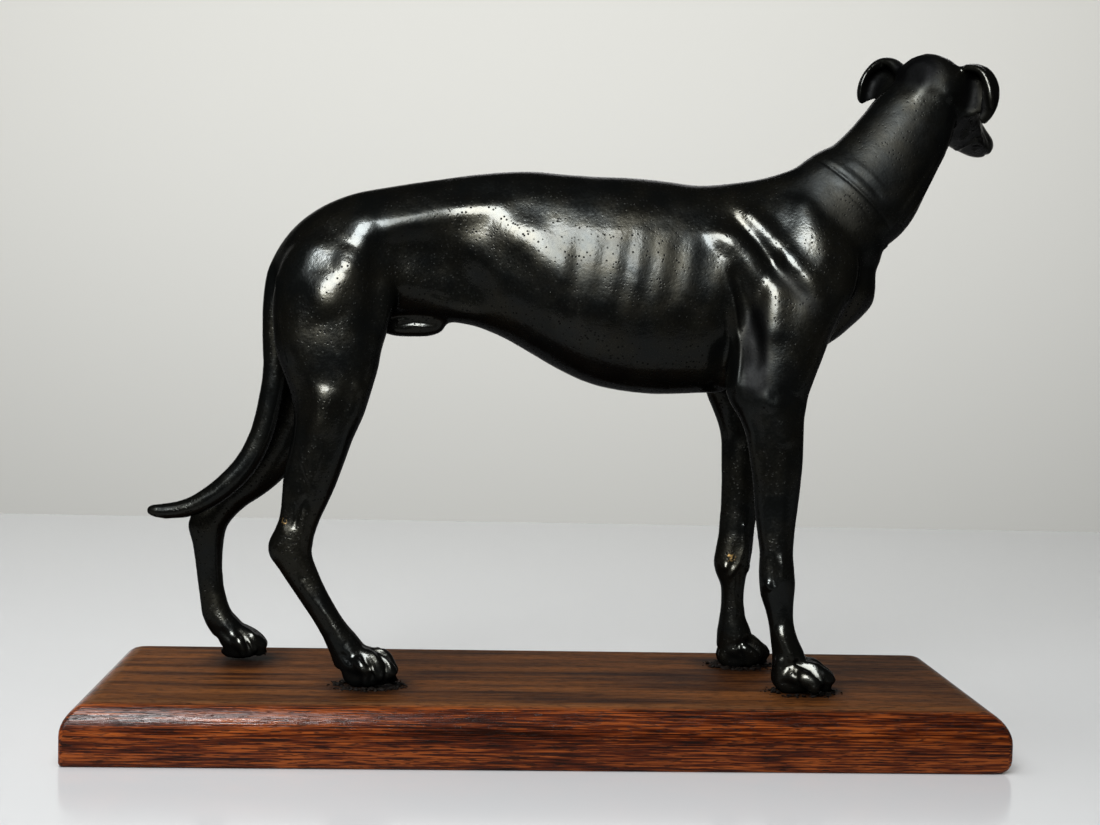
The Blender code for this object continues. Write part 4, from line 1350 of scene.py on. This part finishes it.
@dataclass
class FillerCrumbs:
    """Crumbs of old filler squeezed out round three of the paws and left there.

    Attributes:
        rings: Middle x and y, half length and half width of each ring, and how many crumbs lie in it.
        nearest: Where a ring begins, as a share of its half sizes.
        spread: How far out from there crumbs lie.
        crowding: How closely they keep to the paw.
        sizes: Radius of the smallest and the largest at the paw, in millimetres.
        shrink: What the radius is multiplied by at the paw, and what it loses on the way out.
        stretch: How far each is stretched or flattened along its three axes.
        tilt: How far each is tipped over, as an angle.
        spin: How far each is turned round, as an angle.
        knobs: How far its corners stand in and out.
        smooth_angle: Below this many degrees two faces look like one.
        top: Height of the board.
        seed: Keeps the crumbs where they are from run to run.
    """

    rings: tuple[tuple[float, float, float, float, int], ...] = (
        (-57.6, -17.8, 11.0, 8.2, 280),
        (88.8, -20.4, 11.2, 8.0, 90),
        (74.6, 20.0, 11.4, 7.8, 160),
    )
    nearest: float = 0.84
    spread: float = 0.42
    crowding: float = 2.2
    sizes: tuple[float, float] = (0.28, 0.88)
    shrink: tuple[float, float] = (1.45, 1.0)
    stretch: tuple[tuple[float, float], ...] = ((0.6, 1.5), (0.6, 1.3), (0.35, 0.75))
    tilt: float = 0.6
    spin: float = 6.3
    knobs: tuple[float, float] = (0.75, 1.2)
    smooth_angle: float = 50.0
    top: float = PLINTH_TOP
    seed: int = 11

    def crumb(self, place: tuple[float, float], size: float, dice: np.random.Generator) -> bpy.types.Object:
        """Makes one flattened, knobbly crumb lying on the board.

        Args:
            place: Where it lies, in millimetres.
            size: Its radius.
            dice: Where its chances come from.

        Returns:
            The crumb.
        """
        where = (place[0] * MM, place[1] * MM, (self.top + size / 4) * MM)
        bpy.ops.mesh.primitive_ico_sphere_add(subdivisions=1, radius=size * MM, location=where)
        piece = bpy.context.object
        piece.scale = [dice.uniform(*span) for span in self.stretch]
        tips = dice.uniform(-self.tilt, self.tilt, 2)
        piece.rotation_euler = (*tips, dice.uniform(0, self.spin))
        for vertex in piece.data.vertices:
            vertex.co *= dice.uniform(*self.knobs)
        return piece

    def build(self, finish: bpy.types.Material) -> bpy.types.Object:
        """Makes all the crumbs as one piece.

        Args:
            finish: Its material.

        Returns:
            The finished piece.
        """
        dice = np.random.default_rng(self.seed)
        crumbs = []
        for x, y, half_length, half_width, count in self.rings:
            for _ in range(count):
                angle = dice.uniform(0, 2 * math.pi)
                away = dice.random() ** self.crowding
                size = dice.uniform(*self.sizes) * (self.shrink[0] - self.shrink[1] * away)
                out = self.nearest + self.spread * away
                place = (x + half_length * out * math.cos(angle), y + half_width * out * math.sin(angle))
                crumbs.append(self.crumb(place, size, dice))
        bpy.ops.object.select_all(action="DESELECT")
        for crumb in crumbs:
            crumb.select_set(True)
        piece = crumbs[0]
        bpy.context.view_layer.objects.active = piece
        bpy.ops.object.join()
        bpy.ops.object.transform_apply(location=True, rotation=True, scale=True)
        piece.name = CRUMBS_NAME
        bpy.ops.object.shade_smooth_by_angle(angle=math.radians(self.smooth_angle))
        piece.data.materials.append(finish)
        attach(piece, BODY)
        return piece


# The studio

FIGURE_MIDDLE = (0.0, 0.0, 0.15)
BOARD_MIDDLE = (0.0, 0.0, 0.0)
DAYLIGHT = "F6FAFF"
ON_CASTING = (CASTING_NAME,)
ON_BOARD = (BOARD_NAME, CRUMBS_NAME)


@dataclass(frozen=True)
class Lamp:
    """One soft lamp of the studio.

    Attributes:
        name: What it is called.
        place: Where it hangs.
        aim: The point that it faces.
        size: Its width and depth in metres.
        power: Its strength in watts.
        lights: The pieces that it falls on, with all others flagged off.
        colour: Its colour as hex.
    """

    name: str
    place: tuple[float, float, float]
    aim: tuple[float, float, float]
    size: tuple[float, float]
    power: float
    lights: tuple[str, ...]
    colour: str = "FFFFFF"

    def hang(self) -> None:
        """Hangs the lamp."""
        light = bpy.data.lights.new(self.name, "AREA")
        light.shape = "RECTANGLE"
        light.size, light.size_y = self.size
        light.energy = self.power
        light.color = srgb(self.colour)[:3]
        holder = bpy.data.objects.new(self.name, light)
        holder.location = self.place
        holder.rotation_euler = (Vector(self.aim) - Vector(self.place)).to_track_quat("-Z", "Y").to_euler()
        bpy.context.collection.objects.link(holder)
        chosen = bpy.data.collections.new(self.name + " falls on")
        for name in self.lights:
            chosen.objects.link(bpy.data.objects[name])
        holder.light_linking.receiver_collection = chosen


@dataclass
class Studio:
    """A glossy pale table, a plain wall well behind it, soft light from above and the photograph's camera.

    Attributes:
        lens: Focal length in millimetres.
        sensor: Width of the sensor behind it.
        eye: Where the camera stands, in millimetres from the middle of the plinth's underside.
        yaw: How far it looks to the right, as an angle.
        pitch: How far it looks down.
        roll: How far it is tipped.
        clip: The nearest and the farthest that it sees, in metres.
        table_front: Where the table begins, in metres.
        table_edge: Where it ends.
        table_reach: How far it goes to each side.
        wall_at: How far back the wall is.
        wall_reach: How far it goes to each side.
        wall_span: Where it begins and ends above the table.
        room: Colour and strength of the dim room.
        lamps: The lamps.
    """

    lens: float = 52.33
    sensor: float = 36.0
    eye: tuple[float, float, float] = (-29.50, -550.23, 144.94)
    yaw: float = 0.05764
    pitch: float = 0.06074
    roll: float = 0.02445
    clip: tuple[float, float] = (0.01, 20.0)
    table_front: float = -0.20
    table_edge: float = 0.56
    table_reach: float = 2.5
    wall_at: float = 1.45
    wall_reach: float = 3.0
    wall_span: tuple[float, float] = (-1.0, 0.9)
    room: tuple[str, float] = ("F2F2F0", 0.05)
    lamps: tuple[Lamp, ...] = (
        Lamp("window", (-0.13, -0.74, 0.56), FIGURE_MIDDLE, (0.52, 0.50), 86.0, ON_CASTING, DAYLIGHT),
        Lamp("window glow", (-0.15, -0.80, 0.60), FIGURE_MIDDLE, (1.1, 0.9), 11.0, ON_CASTING, DAYLIGHT),
        Lamp("window on board", (-0.40, -0.56, 0.86), BOARD_MIDDLE, (0.30, 0.12), 3.2, ON_BOARD),
        Lamp("window on table", (-0.30, -0.74, 0.70), BOARD_MIDDLE, (0.4, 0.4), 3.4, ("table",)),
        Lamp("behind", (0.25, 0.80, 0.65), FIGURE_MIDDLE, (0.7, 0.4), 3.2, ON_CASTING),
        Lamp("ceiling", (-0.20, -0.25, 1.1), (-0.1, -0.15, 0.0), (1.3, 0.9), 11.5, ("table", "wall")),
        Lamp("ceiling on board", (-0.45, -0.20, 0.95), BOARD_MIDDLE, (0.6, 0.5), 4.8, ON_BOARD),
        Lamp("left window on board", (-0.55, -0.45, 0.42), (-0.05, 0.0, 0.0), (0.4, 0.4), 2.0, ON_BOARD),
        Lamp("wall wash", (0.0, 0.35, 1.1), (0.0, 1.45, 0.45), (2.6, 0.3), 14.5, ("wall",), "FFFDF8"),
        Lamp("low wall wash", (0.05, 0.62, 0.25), (0.05, 1.45, 0.15), (2.2, 0.5), 4.4, ("wall",), "FBFDFF"),
    )

    def slab(
        self, name: str, corners: tuple[tuple[float, float, float], ...], finish: bpy.types.Material
    ) -> None:
        """Makes one flat face of the studio.

        Args:
            name: What it is called.
            corners: Its corners in turn.
            finish: Its material.
        """
        mesh = bpy.data.meshes.new(name)
        mesh.from_pydata(corners, [], [tuple(range(len(corners)))])
        piece = bpy.data.objects.new(name, mesh)
        mesh.materials.append(finish)
        bpy.context.collection.objects.link(piece)

    def surfaces(self) -> None:
        """Builds table and wall."""
        front, edge, side = self.table_front, self.table_edge, self.table_reach
        corners = ((-side, front, 0), (side, front, 0), (side, edge, 0), (-side, edge, 0))
        self.slab("table", corners, PlainSurface("white laminate", "E6E8EA", 0.16).build())
        (low, high), far, side = self.wall_span, self.wall_at, self.wall_reach
        corners = ((-side, far, low), (side, far, low), (side, far, high), (-side, far, high))
        self.slab("wall", corners, PlainSurface("matt white paint", "E4E4E0", 0.9, 0.1).build())

    def dim_room(self) -> None:
        """Builds the room's own faint light."""
        world = bpy.data.worlds.new("room")
        world.use_nodes = True
        colour, strength = self.room
        inputs = world.node_tree.nodes["Background"].inputs
        inputs["Color"].default_value = srgb(colour)
        inputs["Strength"].default_value = strength
        bpy.context.scene.world = world

    def camera(self) -> None:
        """Sets up the photograph's camera."""
        camera = bpy.data.cameras.new("camera")
        camera.lens, camera.sensor_width = self.lens, self.sensor
        camera.clip_start, camera.clip_end = self.clip
        holder = bpy.data.objects.new("camera", camera)
        level = Vector((math.sin(self.yaw), math.cos(self.yaw), 0)) * math.cos(self.pitch)
        ahead = level - Vector((0, 0, math.sin(self.pitch)))
        right = Vector((math.cos(self.yaw), -math.sin(self.yaw), 0))
        up = right.cross(ahead)
        across = right * math.cos(self.roll) + up * math.sin(self.roll)
        above = up * math.cos(self.roll) - right * math.sin(self.roll)
        turn = Matrix((across, above, -ahead)).transposed().to_4x4()
        holder.matrix_world = Matrix.Translation(Vector(self.eye) * MM) @ turn
        bpy.context.collection.objects.link(holder)
        bpy.context.scene.camera = holder

    def build(self) -> None:
        """Builds table, wall, lamps, room and camera."""
        self.surfaces()
        for lamp in self.lamps:
            lamp.hang()
        self.dim_room()
        bpy.context.scene.view_settings.view_transform = "Standard"
        self.camera()


def main() -> None:
    """Loads the frame, builds each sub-assembly, logs each piece's face count and builds the studio."""
    logging.basicConfig(level=logging.INFO, format="%(message)s")
    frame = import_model()
    casting = Casting().build(frame["nodes"]["greyhound"], PatinatedBronze().build())
    board = Board().build(OiledHardwood().build())
    crumbs = FillerCrumbs().build(OldFiller().build())
    for piece in (casting, board, crumbs):
        LOG.info("%s: %d faces", piece.name, len(piece.data.polygons))
    Studio().build()


if __name__ == "__main__":
    main()
